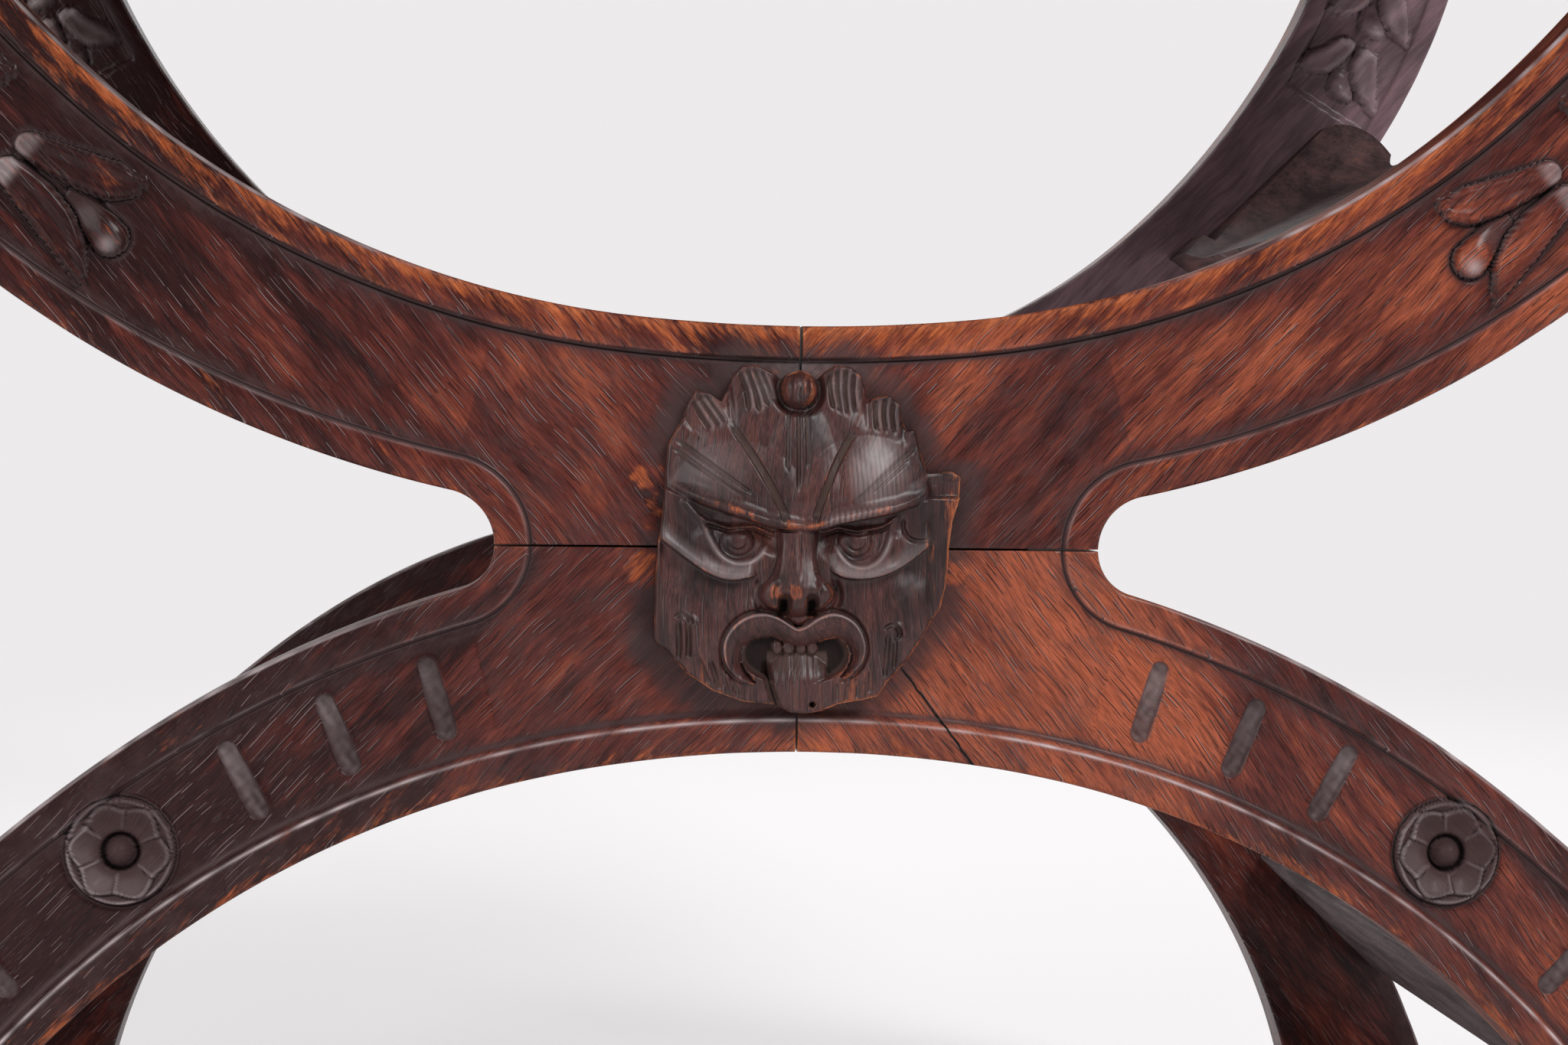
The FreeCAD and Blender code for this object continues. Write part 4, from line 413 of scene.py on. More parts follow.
    # The very arris, away from the crossing, carries a broken painted highlight, and less wear
    glint_edge_distance = inner_distance if arm else outer_distance
    arris_glint = smooth(0.0010, 0.0005, glint_edge_distance) * smooth(0.070, 0.125, np.abs(x))
    pale = np.maximum(pale, 0.75 * arris_glint * patchy)
    wear = wear * (1.0 - 0.7 * arris_glint)
    if row == "front":
        for centre, reach in BARE_PATCHES:
            bare = cap(real_x + 1.3 * unevenness(real_x, real_z, 3.7), real_z, centre, reach, 1.0)
            wear = np.maximum(wear, 0.60 * smooth(0.0, 0.8, bare))
            grime_and_shade = grime_and_shade * (1.0 - 0.8 * smooth(0.0, 0.6, bare))
        dusty = np.exp(-(real_x / 12.0) ** 2 - ((real_z - 40.6) / 2.6) ** 2)
        dusty = dusty * (0.7 + 0.3 * unevenness(real_x, real_z, 2.9))
        pale = np.maximum(pale, 0.26 * dusty * sunk)
    return depth, np.clip(wear, 0.0, 1.0), grime_and_shade, np.clip(pale, 0.0, 1.0)


# Meshes of the limbs


def spaced(length, step):
    return np.linspace(0.0, length, max(2, int(round(length / step)) + 1))


STRIP = np.array([
    0.0, 0.00022, 0.00055, 0.0010, 0.0016, 0.0026, 0.0038, 0.0050, 0.0060, 0.0067, 0.0071, 0.00735,
    0.00755, 0.00775, 0.0080, 0.0084, 0.0089, 0.0096, 0.0104,
])
COARSE_STRIP = np.array([0.0, 0.0005, 0.0012, 0.0035, 0.0066, 0.0073, 0.0078, 0.0086, 0.0104])
# Cells across each limb, and steps along it before and after its fine length
MESH_STEPS = {
    ("front", "arm"): (52, 0.00060, 0.0013), ("front", "leg"): (66, 0.00045, 0.0011),
    ("rear", "arm"): (34, 0.0020, 0.0012), ("rear", "leg"): (20, 0.0020, 0.0026),
}
FINE_LENGTH = 0.235
WALL_ROUND = 0.0010
BACK_INSET = 0.0008
BACK_SHARES = np.linspace(0.0, 1.0, 10)
BACK_CORNER = 5


def edge_lines(inner, outer, end, fine_step, coarse_step):
    """Rows of matching points and inward normals on both edges, from the seams to the limb's end."""
    notch_radius, notch_x, join_angle = notch(outer)
    # Where the inner edge's normal meets the join of notch and outer edge
    join = outer.point(join_angle)
    slope = 0.0
    while slope < 40.0:
        px, pz = inner.point(slope)
        t = radians(slope)
        if (join[0] - px) * cos(t) + (join[1] - pz) * sin(t) <= 0.0:
            break
        slope += 0.05
    neck = inner.length_to(slope)
    total = inner.length_to(inner.angle_at_height(end))
    near = neck * spaced(1.0, fine_step / neck)
    near = np.unique(np.concatenate([[0.0, 0.0003, 0.0007], near[near > 0.0009]]))
    middle = neck + spaced(FINE_LENGTH - neck, fine_step)[1:]
    far = FINE_LENGTH + spaced(total - FINE_LENGTH, coarse_step)[1:]
    stations = np.concatenate([near, middle, far])
    half_turn = 180.0 - degrees(atan2(join[1], join[0] - notch_x))
    outer_start = outer.length_to(join_angle)
    outer_total = outer.length_to(outer.angle_at_height(end)) - outer_start
    rows = []
    for s in stations:
        angle = inner.angle_after(0.0, s)
        t = radians(angle)
        p, normal = inner.point(angle), (sin(t), -cos(t))
        if s < neck:
            share = s / neck
            turn = radians(half_turn * share)
            q = (notch_x - notch_radius * cos(turn), notch_radius * sin(turn))
            back = (-cos(turn), sin(turn))
            rows.append((p, normal, q, back, share))
        else:
            share = (s - neck) / (total - neck)
            a = outer.angle_after(0.0, outer_start + outer_total * share)
            q = outer.point(a)
            span = hypot(q[0] - p[0], q[1] - p[1])
            line = ((q[0] - p[0]) / span, (q[1] - p[1]) / span)
            rows.append((p, line, q, (-line[0], -line[1]), 1.0))
    return rows


def neck_rows(rows, strip, cells):
    """Points of every row on the front face, with their distances from both edges."""
    reach = strip[-1]
    first = rows[0]
    top = first[0][1] - reach
    side = first[2][0] - reach
    corner = int(round(cells * top / (top + side)))
    steps = np.arange(1, cells)
    seam_x = np.where(steps <= corner, 0.0, side * (steps - corner) / (cells - corner))
    seam_z = np.where(steps <= corner, top * (1.0 - steps / corner), 0.0)
    share = steps / cells
    joined = next(row for row in rows if row[4] >= 1.0)

    def ends(row):
        p, normal, q, back, _ = row
        a = np.array(p) + reach * np.array(normal)
        b = np.array(q) + reach * np.array(back)
        return a, b

    a_first, b_first = ends(first)
    a_last, b_last = ends(joined)
    result = []
    for row in rows:
        p, normal, q, back, along = row
        a, b = ends(row)
        left = np.array(p)[None, :] + strip[:, None] * np.array(normal)[None, :]
        right = np.array(q)[None, :] + strip[::-1, None] * np.array(back)[None, :]
        if along < 1.0:
            seam = np.stack([seam_x, seam_z], axis=1)
            straight = a_last + (b_last - a_last) * share[:, None]
            blended = (1.0 - along) * seam + along * straight
            sides = a + (b - a) * share[:, None]
            low = a_first + (b_first - a_first) * share[:, None]
            corners = (1.0 - along) * low + along * straight
            inside = blended + sides - corners
        else:
            inside = a + (b - a) * share[:, None]
        points = np.concatenate([left, inside, right])
        far = np.full(cells - 1, 1.0)
        inner_distance = np.concatenate([strip, far, np.full(len(strip), 1.0)])
        outer_distance = np.concatenate([np.full(len(strip), 1.0), far, strip[::-1]])
        if along >= 1.0:
            width = hypot(q[0] - p[0], q[1] - p[1])
            inner_distance = np.concatenate([strip, reach + (width - 2 * reach) * share, width - strip[::-1]])
            outer_distance = width - inner_distance
        else:
            inner_distance[len(strip):-len(strip)] = reach + 0.001
            outer_distance[len(strip):-len(strip)] = reach + 0.001
        result.append((points, inner_distance, outer_distance))
    return result, len(strip) + corner - 1


def back_points(row, outer_point, inner_point, top):
    """A row's points on the back: they follow the two seams at the crossing and straighten with the limb."""
    _, normal, _, back, along = row
    start = np.array(outer_point) + BACK_INSET * np.array(back)
    end = np.array(inner_point) + BACK_INSET * np.array(normal)
    across = start + (end - start) * BACK_SHARES[:, None]
    if along < 1.0:
        reach = NOTCH_HALF_WIDTH - BACK_INSET
        side_run = [(reach * (1 - n / BACK_CORNER), 0.0) for n in range(BACK_CORNER + 1)]
        steps = len(BACK_SHARES) - 1 - BACK_CORNER
        up_run = [(0.0, (top - BACK_INSET) * n / steps) for n in range(1, steps + 1)]
        seams = np.array(side_run + up_run)
        chord = seams[0] + (seams[-1] - seams[0]) * BACK_SHARES[:, None]
        across = across + (1.0 - along) * (seams - chord)
    return across


def make_limb(row, level, side):
    """One quadrant of a frame: a carved front, plain walls and back, and its flat tenon."""
    arm = level == "arm"
    inner, outer, end = (ARM_INNER, ARM_OUTER, ARM_END) if arm else (LEG_INNER, LEG_OUTER, LEG_END)
    across, up = SIDES[side], 1 if arm else -1
    face = FRONT_FACE if row == "front" else REAR_FACE
    strip = STRIP if row == "front" else COARSE_STRIP
    cells, fine_step, coarse_step = MESH_STEPS[(row, level)]
    rows = edge_lines(inner, outer, end, fine_step, coarse_step)
    lines, corner = neck_rows(rows, strip, cells)
    front, inner_distance, outer_distance = (np.array([line[n] for line in lines]) for n in range(3))
    x, z = front[..., 0], front[..., 1]
    depth, wear, grime_and_shade, pale = carve(
        x, z, inner_distance, outer_distance, level, row, 1000.0 * across * x, 1000.0 * up * z
    )
    upright_seam = np.where(z < inner.point(0.0)[1] + 0.001, x, 1.0)
    level_seam = np.where(x < NOTCH_HALF_WIDTH + 0.002, z, 1.0)
    seam = np.minimum(upright_seam, level_seam)
    depth += 0.00022 * smooth(0.0008, 0.0, seam)
    wear = np.clip(wear + 0.35 * smooth(0.0012, 0.0, seam), 0.0, 1.0)
    count = front.shape[1]
    # Each ring runs over the front, down the outer wall, across the back and up the inner wall
    wall = [0.0014, 0.0035, BOARD * 0.35, BOARD * 0.65, BOARD - 0.003, BOARD - WALL_ROUND, BOARD - 0.0003]
    wall_wear = [float(smooth(0.0035, 0.0005, min(deep, BOARD - deep))) for deep in wall]
    clean_wall, clean_back = [0.0] * len(wall), [0.0] * len(BACK_SHARES)
    points, wears, grime_and_shade_rows, pales = [], [], [], []
    for k, line in enumerate(rows):
        (px, pz), (qx, qz) = front[k, 0], front[k, -1]
        ring_points = list(zip(x[k], depth[k], z[k])) + [(qx, deep, qz) for deep in wall]
        behind = back_points(line, (qx, qz), (px, pz), rows[0][0][1])
        ring_points += [(bx, BOARD, bz) for bx, bz in behind]
        ring_points += [(px, deep, pz) for deep in reversed(wall)]
        points.append(ring_points)
        wears.append(list(wear[k]) + wall_wear + clean_back + wall_wear[::-1])
        grime_and_shade_rows.append(list(grime_and_shade[k]) + clean_wall + [0.15] * len(BACK_SHARES) + clean_wall)
        pales.append(list(pale[k]) + clean_wall + clean_back + clean_wall)
    points = np.array(points)
    ring = points.shape[1]
    # The seams stand a hair apart, the upright one wider at the top
    gape = SEAM_GAP + (0.00030 * smooth(0.0400, 0.0515, points[0, :, 2]) if arm else 0.0)
    points[0, :, 0] = np.maximum(points[0, :, 0], gape)
    points[0, :, 2] = np.maximum(points[0, :, 2], SEAM_GAP)
    points[1:, :, 0] = np.maximum(points[1:, :, 0], SEAM_GAP * 1.2)
    points[1:, :, 2] = np.maximum(points[1:, :, 2], SEAM_GAP * 1.2)
    points[..., 0] *= across
    points[..., 2] *= up
    points[..., 1] += face
    points[..., 2] += CROSSING
    index = np.arange(len(rows) * ring).reshape(len(rows), ring)
    a, b = index[:-1], index[1:]
    quads = np.stack([a, b, np.roll(b, -1, axis=1), np.roll(a, -1, axis=1)], axis=-1).reshape(-1, 4)
    back_corner = count + len(wall) + BACK_CORNER
    first = list(index[0])
    level_cap = first[corner:back_corner + 1]
    upright_cap = first[:corner + 1] + first[back_corner:]
    end_cap = list(index[-1])[::-1]
    faces = [list(q) for q in quads] + [level_cap, upright_cap, end_cap]
    if across * up < 0:
        faces = [f[::-1] for f in faces]
    verts = points.reshape(-1, 3)
    name = f"carved_{row}_{level}_{side}"
    mesh = bpy.data.meshes.new(name)
    tenon_verts, tenon_faces = tenon_box(level, across, up, face)
    base = len(verts)
    faces += [[base + i for i in f] for f in tenon_faces]
    mesh.from_pydata([tuple(v) for v in verts] + tenon_verts, [], faces)
    mesh.update()
    smooth_flags = np.ones(len(faces), bool)
    smooth_flags[len(quads):] = False
    mesh.polygons.foreach_set("use_smooth", smooth_flags)
    for label, values in (("wear", wears), ("grime_and_shade", grime_and_shade_rows), ("pale_dust", pales)):
        data = mesh.attributes.new(label, "FLOAT", "POINT").data
        flat = np.concatenate([np.array(values, np.float32).ravel(), np.zeros(len(tenon_verts), np.float32)])
        data.foreach_set("value", flat)
    piece = bpy.data.objects.new(name, mesh)
    bpy.context.scene.collection.objects.link(piece)
    return piece


def tenon_box(level, across, up, face):
    """The flat tenon on a limb's end, half way through its thickness."""
    arm = level == "arm"
    inner, outer, end = (ARM_INNER, ARM_OUTER, ARM_END) if arm else (LEG_INNER, LEG_OUTER, LEG_END)
    shoulder, overlap = 0.008, 0.009
    inside = max(inner.point(inner.angle_at_height(h))[0] for h in (end, end - overlap)) + shoulder
    outside = min(outer.point(outer.angle_at_height(h))[0] for h in (end, end - overlap)) - shoulder
    low_y, high_y = face + BOARD / 4, face + BOARD * 3 / 4
    heights = (CROSSING + up * (end - 0.001), CROSSING + up * (end + TENON_LENGTH))
    verts = [(across * vx, vy, vz) for vz in heights for vy in (low_y, high_y) for vx in (inside, outside)]
    faces = [[0, 1, 3, 2], [4, 6, 7, 5], [0, 4, 5, 1], [2, 3, 7, 6], [0, 2, 6, 4], [1, 5, 7, 3]]
    if across * up > 0:
        faces = [f[::-1] for f in faces]
    return verts, faces


# The applied mask. Its places are in millimetres from the crossing, turned into metres when the mesh is made.

MASK_OUTLINE = [
    (-4.6, 38.6), (-3.4, 39.7), (-0.5, 40.8), (2.4, 39.7), (3.6, 38.6), (5.6, 40.6), (8.0, 42.0),
    (11.4, 41.6), (13.6, 39.4), (14.8, 36.2), (15.2, 33.8), (17.8, 34.9), (20.4, 35.2), (22.6, 33.0),
    (23.2, 29.8), (24.4, 27.2), (26.4, 27.6), (27.0, 24.6), (28.0, 20.6), (29.6, 17.6), (35.0, 17.9),
    (37.0, 16.6), (36.9, 12.8), (36.0, 9.8), (35.0, 6.6), (34.3, 1.0), (33.8, -7.6), (32.4, -13.4),
    (30.0, -17.0), (25.4, -24.4), (20.4, -30.0), (18.0, -33.6), (14.8, -34.4), (9.0, -35.4),
    (5.4, -37.0), (2.0, -37.6), (-1.8, -37.4), (-4.4, -36.0), (-7.0, -35.4), (-12.4, -35.0),
    (-19.4, -32.6), (-25.6, -28.6), (-30.2, -23.4), (-33.2, -21.4), (-33.0, -8.0), (-32.4, 1.2),
    (-31.6, 6.6), (-31.2, 12.0), (-30.8, 18.0), (-30.4, 23.0), (-29.0, 26.0), (-27.2, 29.0),
    (-26.2, 32.4), (-24.2, 35.8), (-21.0, 35.2), (-18.4, 33.4), (-16.8, 36.0), (-15.6, 39.4),
    (-13.6, 41.6), (-10.4, 41.8), (-7.2, 40.4),
]
MASK_CENTRE = (1.5, 3.0)
BROW_LINE = [
    (-30.5, 13.6), (-25.9, 11.4), (-20.0, 9.2), (-13.5, 7.2), (-7.5, 5.2), (-3.4, 4.4), (0.6, 3.8),
    (4.0, 4.4), (8.1, 5.8), (14.8, 7.2), (21.5, 8.6), (26.4, 10.2), (29.8, 12.2),
]
CHEEK_LINES = [
    [(-32.4, 2.4), (-29.4, 0.2), (-26.6, -2.0), (-20.8, -6.0), (-15.7, -7.5), (-10.4, -6.3)],
    [(6.8, -4.9), (10.4, -6.8), (16.9, -6.6), (22.7, -4.4), (27.0, -1.2), (30.2, 1.6)],
]
# Cuts in the forehead: their course, half width and depth
BROAD_CUTS = [
    ([(-16.0, 28.2), (-11.4, 21.6), (-7.2, 14.6), (-4.4, 9.0), (-3.6, 6.6)], 0.85, 0.80),
    ([(12.0, 27.0), (8.2, 20.4), (5.2, 13.4), (3.6, 8.6), (3.0, 6.4)], 0.80, 0.80),
]
FINE_CUTS = [
    ([(-29.0, 25.0), (-21.0, 19.4), (-15.6, 15.6), (-10.8, 12.2)], 0.42, 0.55),
    ([(-29.6, 23.0), (-22.0, 17.6), (-16.4, 13.8), (-13.0, 11.8)], 0.36, 0.42),
    ([(-3.0, 31.6), (-3.2, 24.0), (-3.4, 18.0)], 0.36, 0.42),
    ([(-0.8, 31.6), (-0.8, 22.0), (-0.7, 13.6)], 0.40, 0.50),
    ([(1.0, 31.6), (1.2, 24.0), (1.3, 18.4)], 0.34, 0.40),
    ([(26.4, 23.6), (21.0, 18.8), (16.4, 14.8), (12.4, 11.2)], 0.40, 0.50),
    ([(24.6, 20.4), (20.4, 16.8), (16.0, 12.8)], 0.34, 0.38),
]
LEAF_CUTS = [
    [(-14.2, 40.4), (-12.4, 35.6), (-12.0, 31.4)], [(-12.6, 41.0), (-10.6, 36.0), (-9.6, 31.2)],
    [(-11.0, 41.0), (-9.0, 36.4), (-7.6, 32.6)], [(-9.4, 40.4), (-7.6, 36.4), (-6.6, 33.6)],
    [(-25.0, 33.6), (-22.6, 29.8), (-20.8, 27.0)], [(-23.6, 34.8), (-20.8, 30.6), (-18.8, 27.8)],
    [(-22.0, 34.8), (-19.2, 31.0), (-17.6, 28.8)],
    [(6.4, 40.0), (6.4, 36.0), (7.4, 32.0)], [(8.2, 41.2), (8.0, 36.4), (8.8, 31.4)],
    [(10.2, 41.4), (9.8, 36.4), (10.4, 31.0)], [(12.0, 40.4), (11.6, 36.0), (12.2, 31.6)],
    [(17.2, 34.4), (16.8, 30.4), (17.4, 27.4)], [(19.2, 34.8), (18.8, 30.6), (19.4, 27.2)],
    [(21.2, 33.8), (20.8, 30.4), (21.4, 27.0)],
]
LEAF_PARTINGS = [
    ((-16.6, 36.0), (-15.6, 28.6), 1.5), ((-27.0, 30.0), (-23.0, 25.4), 1.0),
    ((15.2, 35.4), (15.4, 28.4), 1.5), ((23.6, 30.4), (23.6, 24.6), 1.1),
]
LIP = [
    (-10.6, -30.5, 0.5), (-14.3, -27.9, 1.4), (-15.4, -24.2, 2.0), (-14.9, -21.0, 2.4), (-12.0, -18.3, 2.8),
    (-8.8, -17.3, 3.0), (-5.3, -17.8, 2.9), (-2.6, -19.5, 2.3), (-0.3, -20.4, 2.1), (3.0, -19.4, 2.3),
    (5.8, -17.7, 2.8), (8.8, -17.3, 3.1), (11.7, -18.9, 2.7), (13.4, -22.0, 2.1), (13.4, -25.0, 1.6),
    (11.8, -27.7, 1.2), (10.0, -29.2, 0.6),
]
# Each eye: the ball's centre and radius, the lid above and the ring of the lid below
EYES = [
    ((-14.3, 1.2), 3.7, [(-24.6, 7.6), (-21.6, 5.6), (-16.4, 4.1), (-10.6, 4.5), (-6.6, 2.8)],
     [(-22.2, 5.6), (-20.4, 1.4), (-18.2, -2.0), (-14.3, -3.8), (-9.9, -2.7), (-7.2, 1.2)]),
    ((12.8, 1.4), 4.0, [(5.6, 3.4), (8.6, 4.4), (13.0, 3.6), (18.6, 4.6), (22.6, 7.2)],
     [(20.9, 5.0), (19.8, 0.2), (17.7, -3.0), (14.0, -4.6), (10.0, -3.1), (7.6, 1.6)]),
]
TEMPLE_LINE = [(-27.4, 11.4), (-24.8, 8.6), (-22.4, 5.8), (-20.8, 2.6)]
TEMPLE_NOTCH = [(23.6, 7.4), (23.4, 4.4), (25.4, 2.0), (29.6, 2.2)]
# The nose: height above the crossing, level of its ridge, reach to the left and to the right
NOSE = [
    (-16.0, 5.0, 1.6, 1.8), (-15.2, 8.2, 2.6, 2.8), (-14.2, 10.4, 5.6, 5.4), (-12.5, 12.0, 8.4, 8.0),
    (-10.5, 12.8, 9.4, 9.2), (-8.5, 12.7, 8.8, 8.6), (-6.0, 11.6, 6.3, 5.8), (-1.5, 10.3, 5.3, 4.9),
    (2.5, 9.7, 5.0, 5.0), (4.6, 9.9, 5.4, 5.6),
]
# The fold round a nostril, outwards from its middle
NOSTRIL_FOLD = [(-0.4, -7.0), (1.0, -9.6), (0.6, -12.6), (-1.2, -14.2)]
# The lip's section from its inner edge to its outer edge, in half widths and millimetres
LIP_SECTION = [
    (-1.0, -3.6), (-0.6, -2.5), (0.0, -1.1), (0.45, -0.35), (0.58, -0.55), (0.70, -0.10), (0.85, 0.0),
    (0.94, -0.4), (1.0, -1.6),
]
# Cuts in the beard, with their half widths and depths
BEARD_CUTS = [
    ([(-28.6, -15.8), (-27.2, -15.0), (-25.4, -15.6), (-24.4, -17.4)], 0.40, 0.55),
    ([(-27.8, -16.4), (-27.4, -22.0), (-27.6, -25.6)], 0.42, 0.50),
    ([(-25.6, -16.2), (-25.2, -21.0), (-25.4, -25.2)], 0.40, 0.45),
    ([(-23.2, -24.6), (-20.4, -31.2)], 0.42, 0.35), ([(-20.4, -25.2), (-18.0, -32.4)], 0.42, 0.35),
    ([(-17.8, -28.4), (-15.8, -33.6)], 0.42, 0.35), ([(-15.0, -30.6), (-13.6, -34.0)], 0.40, 0.30),
    ([(19.2, -18.0), (21.0, -17.0), (22.8, -18.0), (22.8, -20.2)], 0.42, 0.60),
    ([(20.2, -19.0), (19.8, -25.0), (19.6, -29.6)], 0.42, 0.45), ([(21.8, -20.0), (21.6, -27.4)], 0.38, 0.40),
    ([(16.6, -25.4), (16.2, -33.0)], 0.42, 0.35), ([(13.6, -30.6), (13.4, -34.0)], 0.40, 0.30),
    ([(11.2, -31.0), (11.0, -34.6)], 0.40, 0.30), ([(8.6, -30.4), (8.6, -35.0)], 0.40, 0.30),
]


def path_distance(x, z, points):
    """Distance to a line through points, the share of the way along it and the side, +1 to the left."""
    best = np.full_like(x, 1e9)
    where = np.zeros_like(x)
    side = np.ones_like(x)
    lengths = [hypot(b[0] - a[0], b[1] - a[1]) for a, b in zip(points, points[1:])]
    walked = 0.0
    for (a, b), length in zip(zip(points, points[1:]), lengths):
        dx, dz = (b[0] - a[0]) / length, (b[1] - a[1]) / length
        t = np.clip((x - a[0]) * dx + (z - a[1]) * dz, 0.0, length)
        d = np.hypot(x - a[0] - t * dx, z - a[1] - t * dz)
        nearer = d < best
        where = np.where(nearer, (walked + t) / sum(lengths), where)
        turn = np.where(dx * (z - a[1]) - dz * (x - a[0]) >= 0.0, 1.0, -1.0)
        side = np.where(nearer, turn, side)
        best = np.minimum(best, d)
        walked += length
    return best, where, side


def rounded(points, times=2):
    """The same line with its corners cut off a few times."""
    for _ in range(times):
        cut = [points[0]]
        for a, b in zip(points, points[1:]):
            cut.append(tuple(0.75 * m + 0.25 * n for m, n in zip(a, b)))
            cut.append(tuple(0.25 * m + 0.75 * n for m, n in zip(a, b)))
        cut.append(points[-1])
        points = cut
    return points


def walked_shares(points):
    """Share of a line's length at each of its points."""
    steps = [hypot(b[0] - a[0], b[1] - a[1]) for a, b in zip(points, points[1:])]
    return np.concatenate([[0.0], np.cumsum(steps)]) / sum(steps)


def cap(x, z, centre, reach, power=0.5):
    """A rounded cap, 1 at its middle and 0 at its rim."""
    r = ((x - centre[0]) / reach[0]) ** 2 + ((z - centre[1]) / reach[1]) ** 2
    return np.clip(1.0 - r, 0.0, 1.0) ** power


def course(value, points, column=1):
    return np.interp(value, [p[0] for p in points], [p[column] for p in points])


def eased(value, places, heights):
    """A line through heights at places, its corners rounded."""
    return sum(np.interp(value + shift, places, heights) for shift in (-1.1, -0.6, 0.0, 0.6, 1.1)) / 5.0


def groove(x, z, points, half, depth, flat=False):
    """A cut along a line that runs out at both ends, flat or rounded at its bottom."""
    margin = 3.0 * half
    xs, zs = [p[0] for p in points], [p[1] for p in points]
    near = (x > min(xs) - margin) & (x < max(xs) + margin) & (z > min(zs) - margin) & (z < max(zs) + margin)
    cut = np.zeros_like(x)
    if near.any():
        d, along, _ = path_distance(x[near], z[near], rounded(points))
        fade = smooth(0.0, 0.12, along) * smooth(1.0, 0.90, along) * 0.8 + 0.2
        cut[near] = depth * fade * (smooth(1.25, 0.75, d / half) if flat else np.exp(-(d / half) ** 2))
    return cut


class Marks:
    """Wear, dust with painted shade in the deepest hollows, and pale lines that are mostly painted
    highlights, from the strokes of the carving on the mask.
    """

    def __init__(self, x):
        self.wear, self.dust, self.pale = (np.zeros_like(x) for _ in range(3))


def forehead_rise(x, z, rim, above, marks):
    """A dome with a swelling over each eye and a flatter panel between, under a hair of leaves."""
    forehead = 3.4 + 0.8 * rim + 4.2 * cap(x, z, (1.0, 3.0), (34.0, 36.0), 1.0)
    forehead += 2.6 * cap(x, z, (-14.5, 9.5), (16.0, 15.0), 1.1)
    forehead += 2.9 * cap(x, z, (15.0, 9.5), (16.0, 16.5), 1.1)
    forehead += 1.3 * cap(x, z, (0.0, 15.0), (8.5, 19.0), 1.0)
    ripple = 0.10 * np.sin(x * 2 * pi / 1.25) * smooth(4.0, 7.0, x) * smooth(21.0, 17.0, x)
    ledge = np.exp(-((above - 1.25) / 1.15) ** 2) * smooth(32.0, 24.0, np.abs(x))
    dip = np.exp(-((above - 4.2) / 1.5) ** 2) * smooth(28.0, 22.0, np.abs(x))
    forehead += (1.1 + ripple) * ledge - 0.5 * dip
    rubbed_side = 0.30 * smooth(-24.0, -19.0, x) * smooth(-8.0, -12.0, x) + 0.10 * smooth(2.0, 6.0, x)
    rubbed = 0.40 + 0.34 * smooth(6.0, 2.0, np.abs(x - 0.3)) + rubbed_side
    marks.wear = np.maximum(marks.wear, ledge * rubbed)
    # Painted highlights: a sheen on the right of the forehead, a fainter one on the left, and light flutes
    # along the ledge
    shine = cap(x, z, (18.0, 17.0), (8.6, 9.0), 1.0) * (0.75 + 0.25 * np.sin(x * 2 * pi / 1.1 + 0.5 * z))
    marks.pale = np.maximum(marks.pale, 0.40 * shine + 0.10 * cap(x, z, (-19.0, 18.0), (8.0, 8.0), 1.0))
    fluted = smooth(4.0, 7.0, x) * smooth(24.0, 19.0, x) * (0.6 + 0.4 * np.sin(x * 2 * pi / 1.25))
    marks.pale = np.maximum(marks.pale, 0.30 * ledge * fluted)
    for points, half, depth in BROAD_CUTS:
        cut = groove(x, z, points, half, depth, True)
        forehead -= cut
        marks.dust = np.maximum(marks.dust, 0.78 * cut / depth)
    for points, half, depth in FINE_CUTS:
        cut = groove(x, z, points, half, 1.3 * depth)
        forehead -= cut
        marks.dust = np.maximum(marks.dust, 0.6 * cut / depth)
    # Hair of leaves, each with slanting cuts, and the bead between the middle two
    for points in LEAF_CUTS:
        cut = groove(x, z, points, 0.50, 1.05)
        forehead -= cut
        marks.dust = np.maximum(marks.dust, 0.85 * cut / 1.05)
        # Beside each leaf cut a worn ridge with a faint painted highlight
        lit = groove(x, z, [(p[0] + 0.95, p[1]) for p in points], 0.42, 1.0)
        marks.wear = np.maximum(marks.wear, 0.40 * lit)
        marks.pale = np.maximum(marks.pale, 0.14 * lit)
    for a, b, depth in LEAF_PARTINGS:
        d, along, _ = path_distance(x, z, [a, b])
        forehead -= depth * (1.0 - 0.8 * along) * np.exp(-(d / 0.8) ** 2)
    curl = smooth(31.0, 39.0, z) + 0.7 * smooth(25.0, 34.0, z) * smooth(14.0, 18.0, np.abs(x - 0.5))
    forehead += 0.7 * curl
    return forehead


